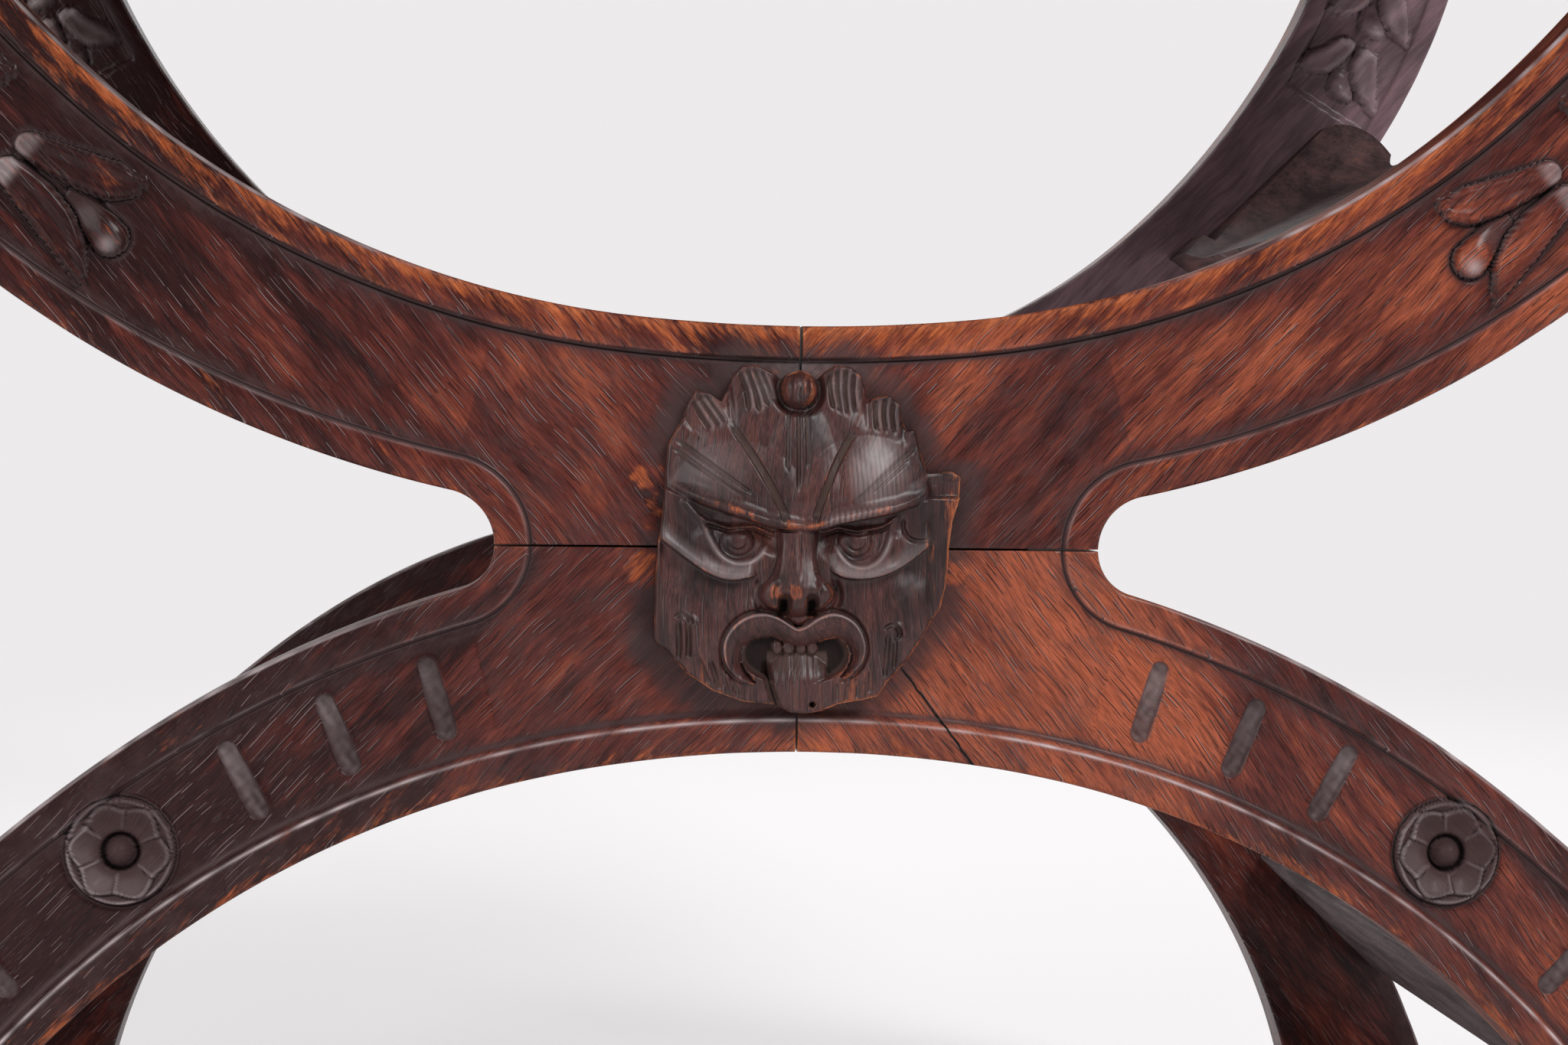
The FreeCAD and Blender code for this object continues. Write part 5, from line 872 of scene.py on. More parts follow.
def face_rise(x, z, rim, above, marks):
    """Eyes, temples, cheeks and beard below the brow."""
    inward = smooth(26.0, 6.0, np.abs(x - 0.5))
    socket = 5.6 + 0.6 * rim + 0.5 * (1.0 - inward) - 0.9 * inward * smooth(7.0, 1.0, -above)
    face = socket + 0.9 * smooth(1.0, 9.0, -above) * smooth(30.0, 20.0, np.abs(x))
    for centre, radius, upper, lower in EYES:
        near = cap(x, z, centre, (9.6, 7.4), 1.0)
        face -= 0.9 * smooth(0.0, 0.6, near)
        d, along, side = path_distance(x, z, rounded(lower))
        sense = -1.0 if centre[0] < 0.0 else 1.0
        inside = side * sense < 0.0
        fade = smooth(0.0, 0.12, along) * smooth(1.0, 0.88, along)
        # The facet outside the ring falls away slowly, its inner side drops to the ball
        ring = np.where(inside, np.exp(-(d / 0.75) ** 2), np.exp(-(d / 2.6) ** 2))
        face += 1.35 * ring * fade
        # Painted highlight along the lower lid's ring
        marks.pale = np.maximum(marks.pale, 0.32 * np.exp(-(d / 0.5) ** 2) * fade)
        ball = cap(x, z, centre, (radius * 1.12, radius), 0.5)
        lid = course(x, upper)
        shown = smooth(0.25, -0.25, z - lid)
        eye = 4.4 + 2.6 * ball
        face = np.where(ball > 0.0, face * (1.0 - shown) + np.maximum(face * 0.94, eye) * shown, face)
        r = np.hypot(x - centre[0], z - centre[1] - 0.6)
        face -= 0.38 * np.exp(-((r - radius * 0.58) / 0.36) ** 2) * shown * smooth(1.4, -0.6, z - centre[1])
        lash = np.exp(-((z - lid - 0.55) / 0.55) ** 2) * smooth(10.0, 7.5, np.abs(x - centre[0]))
        under = np.exp(-((z - lid + 0.35) / 0.35) ** 2) * smooth(8.5, 6.5, np.abs(x - centre[0]))
        face += 0.75 * lash - 0.7 * under
    d, along, _ = path_distance(x, z, rounded(TEMPLE_LINE))
    face += 0.9 * np.exp(-(d / 0.8) ** 2) * smooth(1.0, 0.8, along) * smooth(0.0, 0.15, along)
    face -= groove(x, z, TEMPLE_NOTCH, 0.45, 0.9)
    # Cheeks, under the crisp edge of the cheekbones
    for line in CHEEK_LINES:
        points = rounded(line)
        low = course(x, points)
        first, last = points[0][0], points[-1][0]
        inside = smooth(first - 0.4, first + 1.6, x) * smooth(last + 0.4, last - 1.6, x)
        below = low - z
        face += 1.0 * inside * smooth(-6.5, -0.4, below) * smooth(0.35, -0.25, below)
        # Painted highlight on the facet above the cheekbone's edge
        lit = smooth(-5.0, -0.5, below) * smooth(0.1, -0.3, below)
        marks.pale = np.maximum(marks.pale, inside * (0.24 * lit))
        face -= 1.4 * inside * smooth(-0.25, 0.30, below) * smooth(15.0, 1.0, below)
        face += 0.35 * inside * np.exp(-((below + 0.9) / 0.9) ** 2)
        marks.wear = np.maximum(marks.wear, 0.35 * inside * np.exp(-((below + 0.1) / 0.35) ** 2))
    puff = cap(x, z, (-20.0, -16.0), (12.0, 14.0), 1.0) + cap(x, z, (20.0, -15.0), (11.0, 14.0), 1.0)
    face += 1.1 * puff * smooth(-2.0, -9.0, z)
    for points, half, depth in BEARD_CUTS:
        cut = groove(x, z, points, 1.2 * half, 1.6 * depth)
        face -= cut
        face += 0.6 * groove(x, z, [(p[0] + 1.1, p[1]) for p in points], 1.3 * half, 1.6 * depth)
        marks.dust = np.maximum(marks.dust, 0.35 * cut / depth)
    return face


def with_nose(x, z, h, marks):
    """The bridge, the tip with its nostrils and the fold round each."""
    ridge, left, right = (eased(z, [row[0] for row in NOSE], [row[n] for row in NOSE]) for n in (1, 2, 3))
    across = np.where(x < -0.8, (-0.8 - x) / left, (x + 0.8) / right)
    bridge = ridge - 1.4 * across ** 2 - 2.4 * smooth(0.62, 1.0, across) - 3.6 * smooth(0.86, 1.04, across)
    valley = 0.9 * np.exp(-((across - 0.66) / 0.10) ** 2) * smooth(-6.6, -8.0, z) * smooth(-13.4, -12.0, z)
    nose = bridge - valley + 0.30 * np.exp(-((x + 0.6) / 0.5) ** 2) * smooth(-8.0, -4.0, z)
    on = (z < 4.8) & (z > -15.8) & (across < 1.04)
    h = np.where(on, np.maximum(h, nose * smooth(5.0, 3.6, z) + h * smooth(3.6, 5.0, z)), h)
    for cx in (-3.8, 2.6):
        # Each nostril goes near black, a painted shade in its hole
        hole = np.exp(-((np.abs(x - cx) / 1.25) ** 3 + (np.abs(z + 12.9) / 2.3) ** 3))
        h -= 5.2 * hole * smooth(-15.6, -14.8, z)
        marks.dust = np.maximum(marks.dust, 1.2 * hole * smooth(-15.6, -14.8, z))
    tip = smooth(-6.6, -8.6, z) * smooth(-12.4, -10.4, z) * smooth(0.98, 0.6, across)
    marks.wear = np.maximum(marks.wear, 0.66 * on * tip * smooth(3.0, -3.0, x))
    for sense, cx in ((-1, -9.6), (1, 8.2)):
        fold = [(cx + sense * out, level) for out, level in NOSTRIL_FOLD]
        h -= groove(x, z, fold, 0.8, 0.9)
    return h


def with_mouth(x, z, h, marks):
    """The hollow of the mouth, its teeth and tongue, and the lip that curls round it."""
    hollow = cap(x, z, (-0.8, -24.2), (13.2, 7.0), 1.0)
    h -= 3.6 * smooth(0.0, 0.30, hollow)
    mouth = smooth(0.02, 0.30, hollow)
    for cx, half in ((-5.0, 1.25), (-2.3, 1.35), (0.5, 1.25), (3.1, 1.3)):
        tooth = cap(x, z, (cx, -22.6), (half, 1.7), 0.3)
        h = np.where(tooth > 0.0, np.maximum(h, 4.2 + 1.1 * tooth), h)
        mouth = np.where(tooth > 0.0, 0.3 * mouth, mouth)
    t = np.clip((-z - 24.4) / 12.8, 0.0, 1.0)
    left, right = -7.0 + 3.2 * t ** 1.8, 6.4 - 1.0 * t ** 2
    half = (right - left) / 2
    across = np.abs(x - (left + right) / 2) / half
    rounding = (1.4 + 1.6 * smooth(-29.0, -23.0, z)) * across ** 2.2
    tongue = 3.6 + 3.8 * smooth(-21.4, -31.0, z) - 0.4 * t - rounding
    tongue -= 0.55 * np.exp(-((x + 1.4) / 0.45) ** 2) * smooth(1.0, 0.8, t)
    tongue -= 0.22 * sum(np.exp(-((x - cx) / 0.3) ** 2) for cx in (1.6, 3.6, -4.0))
    on = smooth(1.05, 0.97, across) * smooth(-22.2, -23.0, z)
    h = h * (1.0 - on) + np.maximum(h, tongue) * on
    mouth = mouth * (1.0 - on * smooth(-23.0, -26.5, z))
    gap = np.exp(-((x - left + 0.6) / 0.8) ** 2) * smooth(-25.0, -28.0, z) * smooth(-37.6, -36.0, z)
    # Painted shade: the mouth's hollow and the gap beside the tongue go near black
    marks.dust = np.maximum(marks.dust, np.maximum(0.93 * mouth, 0.97 * gap))
    marks.dust = np.maximum(marks.dust, 0.45 * on * smooth(-31.0, -25.0, z))
    h -= 1.5 * gap
    h -= 0.5 * np.exp(-((x - right - 0.5) / 0.5) ** 2) * smooth(-28.0, -30.0, z)
    lip = rounded(LIP, 3)
    d, along, side = path_distance(x, z, [p[:2] for p in lip])
    widths = np.interp(along, np.linspace(0.0, 1.0, len(LIP)), [p[2] for p in LIP])
    s = d * side / widths
    height = 8.9 - 1.0 * smooth(0.25, 0.0, along) - 1.2 * smooth(0.75, 1.0, along)
    band = height + course(s, LIP_SECTION)
    h = np.where(np.abs(s) < 1.0, np.maximum(band, 3.4), h)
    marks.dust = np.where(np.abs(s) < 1.0, 0.25 * marks.dust, marks.dust)
    h -= 0.9 * np.exp(-((d - widths - 0.35) / 0.55) ** 2) * (s > 1.0) * smooth(-31.0, -28.0, z)
    marks.wear = np.maximum(marks.wear, 0.30 * np.exp(-((s - 0.82) / 0.12) ** 2))
    # Painted highlight along the lip's edge
    marks.pale = np.maximum(marks.pale, 0.35 * np.exp(-((s - 0.86) / 0.08) ** 2) * smooth(-28.0, -24.0, z))
    return h


def with_bead(x, z, h, marks):
    """The bead at the top, with three cuts."""
    d = np.hypot((x + 0.5) / 1.0, (z - 36.2) / 1.05)
    bead = 4.0 + 5.6 * np.sqrt(np.clip(1.0 - (d / 4.2) ** 2, 0.0, 1.0))
    for cx in (-2.7, -0.5, 1.7):
        bead -= 0.5 * np.exp(-((x - cx) / 0.34) ** 2)
    h -= 2.2 * np.exp(-((d - 4.9) / 0.9) ** 2) * smooth(29.0, 33.0, z)
    h = np.where(d < 4.2, np.maximum(h, bead), h)
    marks.wear = np.where(d < 4.2, 0.46, marks.wear)
    return h


def sculpt(x, z, share):
    """Height of the mask above the field, and its marks; share is 0 at its centre and 1 at its rim."""
    marks = Marks(x)
    rim = smooth(1.0, 0.72, share)
    above = z - course(x, BROW_LINE)
    forehead = forehead_rise(x, z, rim, above, marks)
    face = face_rise(x, z, rim, above, marks)
    h = np.where(above > 0.0, forehead, face)
    edge = smooth(-0.55, 0.15, above)
    h = np.where((above > -0.55) & (above < 0.15), face * (1.0 - edge) + forehead * edge, h)
    for add_part in (with_nose, with_mouth, with_bead):
        h = add_part(x, z, h, marks)
    # The ear's tab and the flat sides
    h -= 0.8 * smooth(28.6, 30.2, x) * smooth(17.0, 15.0, z)
    marks.wear = np.maximum(marks.wear, 0.46 * smooth(31.5, 34.5, x) * smooth(-4.0, 2.0, z))
    beard = smooth(-20.0, -29.0, z) * smooth(2.0, 8.0, np.abs(x))
    jaw = smooth(21.0, 29.0, x) * smooth(8.0, 0.0, z)
    marks.wear = np.maximum(marks.wear, np.maximum(0.34 * jaw, 0.36 * beard))
    # Knife marks and flutes along the grain
    h += 0.02 * unevenness(x, z, 3.4) + 0.05 * unevenness(x, z, 7.3, 1.3)
    h += 0.006 * np.sin(x * 2 * pi / 0.95 + 1.3 * np.sin(z / 3.1))
    h += 0.05 * beard * np.sin(x * 2 * pi / 1.5 + 0.9 * np.sin(z / 2.3))
    # A small hole beside the tongue's end, darkened as painted shade
    d = np.hypot(x - 3.1, z + 35.6)
    h -= 2.2 * smooth(0.85, 0.35, d)
    marks.dust = np.maximum(marks.dust, smooth(0.95, 0.45, d))
    painted = (np.clip(value, 0.0, 1.0) for value in (marks.wear, marks.dust, marks.pale))
    return np.clip(h, 1.6, 13.3), *painted


def mask_reach(angles):
    """How far the mask's outline is from its centre in each direction."""
    cx, cz = MASK_CENTRE
    outline = MASK_OUTLINE + MASK_OUTLINE[:1]
    reach = np.zeros(len(angles))
    dx, dz = np.cos(angles), np.sin(angles)
    for (ax, az), (bx, bz) in zip(outline, outline[1:]):
        ex, ez = bx - ax, bz - az
        det = dx * ez - dz * ex
        det = np.where(np.abs(det) < 1e-9, 1e-9, det)
        t = ((ax - cx) * ez - (az - cz) * ex) / det
        u = ((ax - cx) * dz - (az - cz) * dx) / det
        hit = (t > 0.0) & (u >= -1e-9) & (u <= 1.0 + 1e-9)
        reach = np.where(hit, np.maximum(reach, t), reach)
    return reach


RIM_ANGLES = np.linspace(0.0, 2 * pi, 721)
RIM_REACH = mask_reach(RIM_ANGLES)


def mask_share(x, z):
    """How far out a place lies between the mask's centre, 0, and its outline, 1."""
    cx, cz = MASK_CENTRE
    limit = np.interp(np.arctan2(z - cz, x - cx) % (2 * pi), RIM_ANGLES, RIM_REACH)
    return np.hypot(x - cx, z - cz) / limit


def make_mask():
    """The face over the crossing, as a relief on rings that follow its outline."""
    turns, steps = 640, 140
    cx, cz = MASK_CENTRE
    angles = np.linspace(0.0, 2 * pi, turns, endpoint=False)
    reach = mask_reach(angles)
    share = np.linspace(0.0, 1.0, steps + 1)[1:] ** 0.92
    r = share[:, None] * reach[None, :]
    x = cx + r * np.cos(angles)[None, :]
    z = cz + r * np.sin(angles)[None, :]
    h, painted, dust, pale = sculpt(x, z, np.broadcast_to(share[:, None], x.shape))
    near_rim = smooth(0.8, 0.0, (1.0 - share[:, None]) * reach[None, :])
    h = h - 0.7 * near_rim ** 2
    e = 0.5
    bend = -4.0 * h
    for sx, sz in ((e, 0.0), (-e, 0.0), (0.0, e), (0.0, -e)):
        bend = bend + sculpt(x + sx, z + sz, np.clip(mask_share(x + sx, z + sz), 0.0, 1.0))[0]
    rubbed_rim = 0.55 * near_rim * smooth(0.0, 0.5, near_rim)
    wear = np.clip(np.maximum(painted, np.clip(-bend * 0.35, 0.0, 0.5)) + rubbed_rim, 0.0, 1.0)
    grime_and_shade = np.clip(np.maximum(dust, np.clip(bend * 0.24, 0.0, 0.34)), 0.0, 1.0)
    middle = sculpt(np.array([cx]), np.array([cz]), np.zeros(1))[0][0]
    field = FIELD_DEPTH * 1000.0
    none = np.zeros(turns)
    rings = [(x[k], field - h[k], z[k], wear[k], grime_and_shade[k], pale[k]) for k in range(steps)]
    # Rings down the mask's edge to the field, with painted shade that deepens to the foot
    for drop in (0.5, 1.6, 3.0):
        rubbed = wear[-1] * max(0.0, 0.5 - drop * 0.3)
        rings.append((x[-1], field - h[-1] + drop, z[-1], rubbed, grime_and_shade[-1] + drop * 0.2, none))
    rings.append((x[-1], none + field + 0.35, z[-1], none, none + 1.0, none))
    flat = [np.stack(ring[:3], axis=1) for ring in rings]
    verts = np.concatenate([np.array([(cx, field - middle, cz)])] + flat) * 0.001
    values = [np.concatenate([[0.0]] + [ring[n] for ring in rings]) for n in (3, 4, 5)]
    verts[:, 1] += FRONT_FACE
    verts[:, 2] += CROSSING
    index = 1 + np.arange(len(rings) * turns).reshape(len(rings), turns)
    faces = [[0, int(index[0, (n + 1) % turns]), int(index[0, n])] for n in range(turns)]
    a, b = index[:-1], index[1:]
    quads = np.stack([a, np.roll(a, -1, axis=1), np.roll(b, -1, axis=1), b], axis=-1).reshape(-1, 4)
    faces += [list(map(int, q)) for q in quads]
    faces.append([int(v) for v in index[-1]])
    mesh = bpy.data.meshes.new("carved_mask")
    mesh.from_pydata([tuple(v) for v in verts], [], faces)
    mesh.update()
    flags = np.ones(len(faces), bool)
    flags[-1] = False
    mesh.polygons.foreach_set("use_smooth", flags)
    for label, value in zip(("wear", "grime_and_shade", "pale_dust"), values):
        mesh.attributes.new(label, "FLOAT", "POINT").data.foreach_set("value", value.astype(np.float32))
    piece = bpy.data.objects.new("carved_mask", mesh)
    bpy.context.scene.collection.objects.link(piece)
    return piece


# Shader groups


def add(tree, kind, inputs=None, **settings):
    """A node of that kind; inputs gives its sockets a value or another node's output."""
    made = tree.nodes.new(kind)
    for name, value in settings.items():
        setattr(made, name, value)
    for key, value in (inputs or {}).items():
        if isinstance(value, bpy.types.NodeSocket):
            tree.links.new(value, made.inputs[key])
        else:
            made.inputs[key].default_value = value
    return made


def maths(tree, operation, a, b=0.0, c=0.0):
    return add(tree, "ShaderNodeMath", {0: a, 1: b, 2: c}, operation=operation).outputs[0]


def remap(tree, value, low, high, to_low=0.0, to_high=1.0):
    inputs = {"Value": value, "From Min": low, "From Max": high, "To Min": to_low, "To Max": to_high}
    return add(tree, "ShaderNodeMapRange", inputs, interpolation_type="SMOOTHSTEP").outputs["Result"]


def mix(tree, share, a, b):
    inputs = {0: share, 6: a, 7: b}
    return add(tree, "ShaderNodeMix", inputs, data_type="RGBA").outputs[2]


def stretched(tree, vector, scale):
    return add(tree, "ShaderNodeVectorMath", {0: vector, 1: scale}, operation="MULTIPLY").outputs[0]


def noise(tree, vector, scale=1.0, detail=4.0, roughness=0.55):
    inputs = {"Vector": vector, "Scale": scale, "Detail": detail, "Roughness": roughness}
    return add(tree, "ShaderNodeTexNoise", inputs).outputs["Fac"]


def start_group(name, inputs, outputs):
    tree = bpy.data.node_groups.new(name, "ShaderNodeTree")
    kinds = {float: "NodeSocketFloat", tuple: "NodeSocketColor"}
    for label, value in inputs.items():
        kind = "NodeSocketVector" if value is None else kinds[type(value)]
        socket = tree.interface.new_socket(label, in_out="INPUT", socket_type=kind)
        if value is not None:
            socket.default_value = value
    for label, kind in outputs.items():
        tree.interface.new_socket(label, in_out="OUTPUT", socket_type=f"NodeSocket{kind}")
    entry = tree.nodes.new("NodeGroupInput")
    return tree, entry.outputs, tree.nodes.new("NodeGroupOutput").inputs


def link(tree, sockets, **values):
    for label, value in values.items():
        tree.links.new(value, sockets[label.replace("_", " ")])


def pore_lines(tree, flat, length, width, reach, half):
    """Masks of short lines along X, one to a cell, and of a pale line along one lip of some, dust and a
    painted glint.
    """
    place = stretched(tree, flat, (1.0 / length, 1.0 / width, 1.0))
    cell = add(tree, "ShaderNodeTexVoronoi", {"Vector": place, "Scale": 1.0}, voronoi_dimensions="2D").outputs
    away = add(tree, "ShaderNodeVectorMath", {0: place, 1: cell["Position"]}, operation="SUBTRACT").outputs[0]
    parts = add(tree, "ShaderNodeSeparateXYZ", {0: away}).outputs
    chance = add(tree, "ShaderNodeSeparateColor", {0: cell["Color"]}).outputs
    limit = remap(tree, chance[0], 0.0, 1.0, 0.30 * reach, reach)
    thick = remap(tree, chance[1], 0.0, 1.0, 0.55 * half, 1.35 * half)
    ends = remap(tree, maths(tree, "DIVIDE", maths(tree, "ABSOLUTE", parts[0]), limit), 1.0, 0.7)
    sides = remap(tree, maths(tree, "DIVIDE", maths(tree, "ABSOLUTE", parts[1]), thick), 1.15, 0.55)
    beside = maths(tree, "ABSOLUTE", maths(tree, "SUBTRACT", parts[1], 1.5 * half))
    lip = remap(tree, maths(tree, "DIVIDE", beside, maths(tree, "MULTIPLY", thick, 0.70)), 1.15, 0.55)
    lit = maths(tree, "MULTIPLY", lip, remap(tree, chance[2], 0.25, 0.75))
    return maths(tree, "MULTIPLY", ends, sides), maths(tree, "MULTIPLY", ends, lit)


def make_oak_grain():
    """Streaks and open pores of oak whose grain runs along the vector's X."""
    outputs = {name: "Float" for name in ("Figure", "Pores", "Lips", "Fibre", "Clouds")}
    tree, ins, outs = start_group("oak_grain", {"Vector": None}, outputs)
    wander = noise(tree, stretched(tree, ins["Vector"], (16.0, 11.0, 11.0)), 1.0, 2.0)
    shift = add(tree, "ShaderNodeCombineXYZ", {"Z": maths(tree, "MULTIPLY", wander, 0.009)}).outputs[0]
    vector = add(tree, "ShaderNodeVectorMath", {0: ins["Vector"], 1: shift}, operation="ADD").outputs[0]
    parts = add(tree, "ShaderNodeSeparateXYZ", {0: vector}).outputs
    across = maths(tree, "ADD", parts[2], maths(tree, "MULTIPLY", parts[1], 0.6))
    flat = add(tree, "ShaderNodeCombineXYZ", {0: parts[0], 1: across}).outputs[0]
    streaks = noise(tree, stretched(tree, vector, (24.0, 150.0, 150.0)), 1.0, 3.0, 0.55)
    figure = noise(tree, stretched(tree, vector, (60.0, 640.0, 640.0)), 1.0, 4.0, 0.62)
    clouds = noise(tree, stretched(tree, vector, (20.0, 38.0, 38.0)), 1.0, 4.0, 0.58)
    pores, lips = pore_lines(tree, flat, 0.0115, 0.00140, 0.50, 0.082)
    short_pores, short_lips = pore_lines(tree, flat, 0.0040, 0.00100, 0.42, 0.070)
    pores = maths(tree, "MAXIMUM", pores, maths(tree, "MULTIPLY", short_pores, 0.60))
    lips = maths(tree, "MAXIMUM", lips, maths(tree, "MULTIPLY", short_lips, 0.40))
    fibre = noise(tree, stretched(tree, vector, (170.0, 3000.0, 3000.0)), 1.0, 3.0, 0.6)
    value = maths(tree, "ADD", maths(tree, "MULTIPLY", streaks, 0.34), maths(tree, "MULTIPLY", figure, 0.26))
    value = maths(tree, "ADD", value, maths(tree, "MULTIPLY", clouds, 0.40))
    link(tree, outs, Figure=value, Pores=pores, Lips=lips, Fibre=fibre, Clouds=clouds)
    return tree


def make_wax_stain():
    """Colour, roughness and height of stained oak with dark pores, some of them with a pale line along one
    lip, painted as dust and glint.
    """
    tree, ins, outs = start_group(
        "wax_stain",
        {
            "Figure": 0.5, "Clouds": 0.5, "Pores": 0.0, "Lips": 0.0, "Fibre": 0.5, "Tone": 0.0,
            "Dark": (0.025, 0.0070, 0.0068, 1.0), "Red": (0.100, 0.022, 0.016, 1.0),
            "Amber": (0.31, 0.076, 0.036, 1.0), "Pore Dust And Glint": (0.32, 0.225, 0.220, 1.0),
        },
        {"Color": "Color", "Roughness": "Float", "Height": "Float"},
    )
    value = maths(tree, "ADD", ins["Figure"], ins["Tone"])
    low = mix(tree, remap(tree, value, 0.37, 0.53), ins["Dark"], ins["Red"])
    stain = mix(tree, remap(tree, value, 0.49, 0.68), low, ins["Amber"])
    fibre_dark = remap(tree, ins["Fibre"], 0.32, 0.68, 0.62, 1.30)
    shade = add(tree, "ShaderNodeCombineColor", {0: fibre_dark, 1: fibre_dark, 2: fibre_dark}).outputs[0]
    shaded = add(tree, "ShaderNodeMix", {0: 1.0, 6: stain, 7: shade}, data_type="RGBA", blend_type="MULTIPLY")
    shaded = shaded.outputs[2]
    pored = mix(tree, maths(tree, "MULTIPLY", ins["Pores"], 0.85), shaded, (0.009, 0.0045, 0.0045, 1.0))
    dusty = maths(tree, "ADD", ins["Clouds"], maths(tree, "MULTIPLY", ins["Fibre"], 0.3))
    dusty = remap(tree, dusty, 0.48, 0.72, 0.16, 0.66)
    colour = mix(tree, maths(tree, "MULTIPLY", ins["Lips"], dusty), pored, ins["Pore Dust And Glint"])
    rough = remap(tree, ins["Fibre"], 0.3, 0.7, 0.33, 0.47)
    rough = maths(tree, "ADD", rough, maths(tree, "MULTIPLY", ins["Pores"], 0.2))
    height = maths(tree, "SUBTRACT", maths(tree, "MULTIPLY", ins["Fibre"], 0.12), ins["Pores"])
    link(tree, outs, Color=colour, Roughness=rough, Height=height)
    return tree


def make_rubbed_edges():
    """Mask of rubbed wood from a mask of edges; it breaks up along the grain."""
    tree, ins, outs = start_group(
        "rubbed_edges", {"Vector": None, "Edge": 0.0, "Reach": 0.5}, {"Mask": "Float"}
    )
    patches = noise(tree, stretched(tree, ins["Vector"], (48.0, 300.0, 300.0)), 1.0, 5.0, 0.62)
    chips = noise(tree, stretched(tree, ins["Vector"], (240.0, 1500.0, 1500.0)), 1.0, 3.0, 0.6)
    worn = maths(tree, "ADD", maths(tree, "MULTIPLY", patches, 0.62), maths(tree, "MULTIPLY", chips, 0.38))
    limit = maths(tree, "SUBTRACT", 0.72, maths(tree, "MULTIPLY", ins["Edge"], ins["Reach"]))
    mask = remap(tree, maths(tree, "SUBTRACT", worn, limit), -0.07, 0.13)
    link(tree, outs, Mask=mask)
    return tree


def make_settled_dirt_and_shade():
    """Mask of dull dirt and painted shade from a mask of recesses."""
    tree, ins, outs = start_group("settled_dirt_and_shade", {"Vector": None, "Recess": 0.0}, {"Mask": "Float"})
    cloudy = noise(tree, ins["Vector"], 130.0, 5.0, 0.68)
    mask = remap(tree, maths(tree, "ADD", ins["Recess"], maths(tree, "MULTIPLY", cloudy, 0.9)), 0.56, 1.25)
    link(tree, outs, Mask=mask)
    return tree


def make_split():
    """Mask of a crack that crosses a board aslant."""
    tree, ins, outs = start_group("split_board", {"Vector": None}, {"Mask": "Float"})
    wander = noise(tree, stretched(tree, ins["Vector"], (150.0, 0.0, 150.0)), 1.0, 3.0, 0.6)
    parts = add(tree, "ShaderNodeSeparateXYZ", {0: ins["Vector"]}).outputs
    slant = maths(tree, "MULTIPLY", parts[2], SPLIT_SLOPE)
    slant = maths(tree, "ADD", slant, maths(tree, "MULTIPLY", wander, 0.0016))
    away = maths(tree, "SUBTRACT", maths(tree, "ADD", parts[0], slant), SPLIT_PLACE + 0.0008)
    away = maths(tree, "ABSOLUTE", away)
    line = remap(tree, away, 0.00042, 0.00022)
    begins = remap(tree, parts[2], SPLIT_TOP, SPLIT_TOP - 0.002)
    link(tree, outs, Mask=maths(tree, "MULTIPLY", line, begins))
    return tree


def make_edges_and_recesses():
    """Masks of edges and recesses of a plain board, from its own shape."""
    outputs = {"Edge": "Float", "Recess": "Float"}
    tree, ins, outs = start_group("edges_and_recesses", {"Radius": 0.0025}, outputs)
    bevel = add(tree, "ShaderNodeBevel", {"Radius": ins["Radius"]}, samples=4).outputs[0]
    plain = add(tree, "ShaderNodeNewGeometry").outputs["Normal"]
    turn = add(tree, "ShaderNodeVectorMath", {0: bevel, 1: plain}, operation="DOT_PRODUCT").outputs["Value"]
    edge = remap(tree, turn, 0.995, 0.80)
    shade = add(tree, "ShaderNodeAmbientOcclusion", {"Distance": 0.012}, samples=4).outputs["AO"]
    recess = remap(tree, shade, 0.85, 0.25)
    link(tree, outs, Edge=edge, Recess=recess)
    return tree


def make_faces_turned():
    """Masks of faces that look inwards from either side of the chair, and of those that look to its front."""
    outputs = {"Inward": "Float", "Front": "Float"}
    tree, ins, outs = start_group("faces_turned", {"Vector": None}, outputs)
    normal = add(tree, "ShaderNodeTexCoord").outputs["Normal"]
    facing = add(tree, "ShaderNodeSeparateXYZ", {0: normal}).outputs
    across = add(tree, "ShaderNodeSeparateXYZ", {0: ins["Vector"]}).outputs["X"]
    inward = remap(tree, maths(tree, "MULTIPLY", across, facing["X"]), 0.02, -0.06)
    front = remap(tree, facing["Y"], -0.1, -0.6)
    link(tree, outs, Inward=inward, Front=front)
    return tree


GRAIN = make_oak_grain()
STAIN = make_wax_stain()
RUBBED = make_rubbed_edges()
DIRT_AND_SHADE = make_settled_dirt_and_shade()
SHAPE_MASKS = make_edges_and_recesses()
TURNED = make_faces_turned()
# The crack in the right leg's board runs from the mask down through the arch
SPLIT_SLOPE = 0.75
SPLIT_TOP = CROSSING - 0.0265
SPLIT_PLACE = 0.0239 + SPLIT_SLOPE * (CROSSING - 0.0271)
SPLIT = make_split()


# Materials


def use_group(tree, group, inputs):
    made = add(tree, "ShaderNodeGroup", node_tree=group)
    for key, value in inputs.items():
        if isinstance(value, bpy.types.NodeSocket):
            tree.links.new(value, made.inputs[key])
        else:
            made.inputs[key].default_value = value
    return made.outputs


def grain_vector(tree, turn):
    """Object coordinates turned so that the board's grain lies along X."""
    place = add(tree, "ShaderNodeTexCoord").outputs["Object"]
    inputs = {"Vector": place, "Rotation": tuple(radians(t) for t in turn)}
    return place, add(tree, "ShaderNodeVectorRotate", inputs, rotation_type="EULER_XYZ").outputs[0]


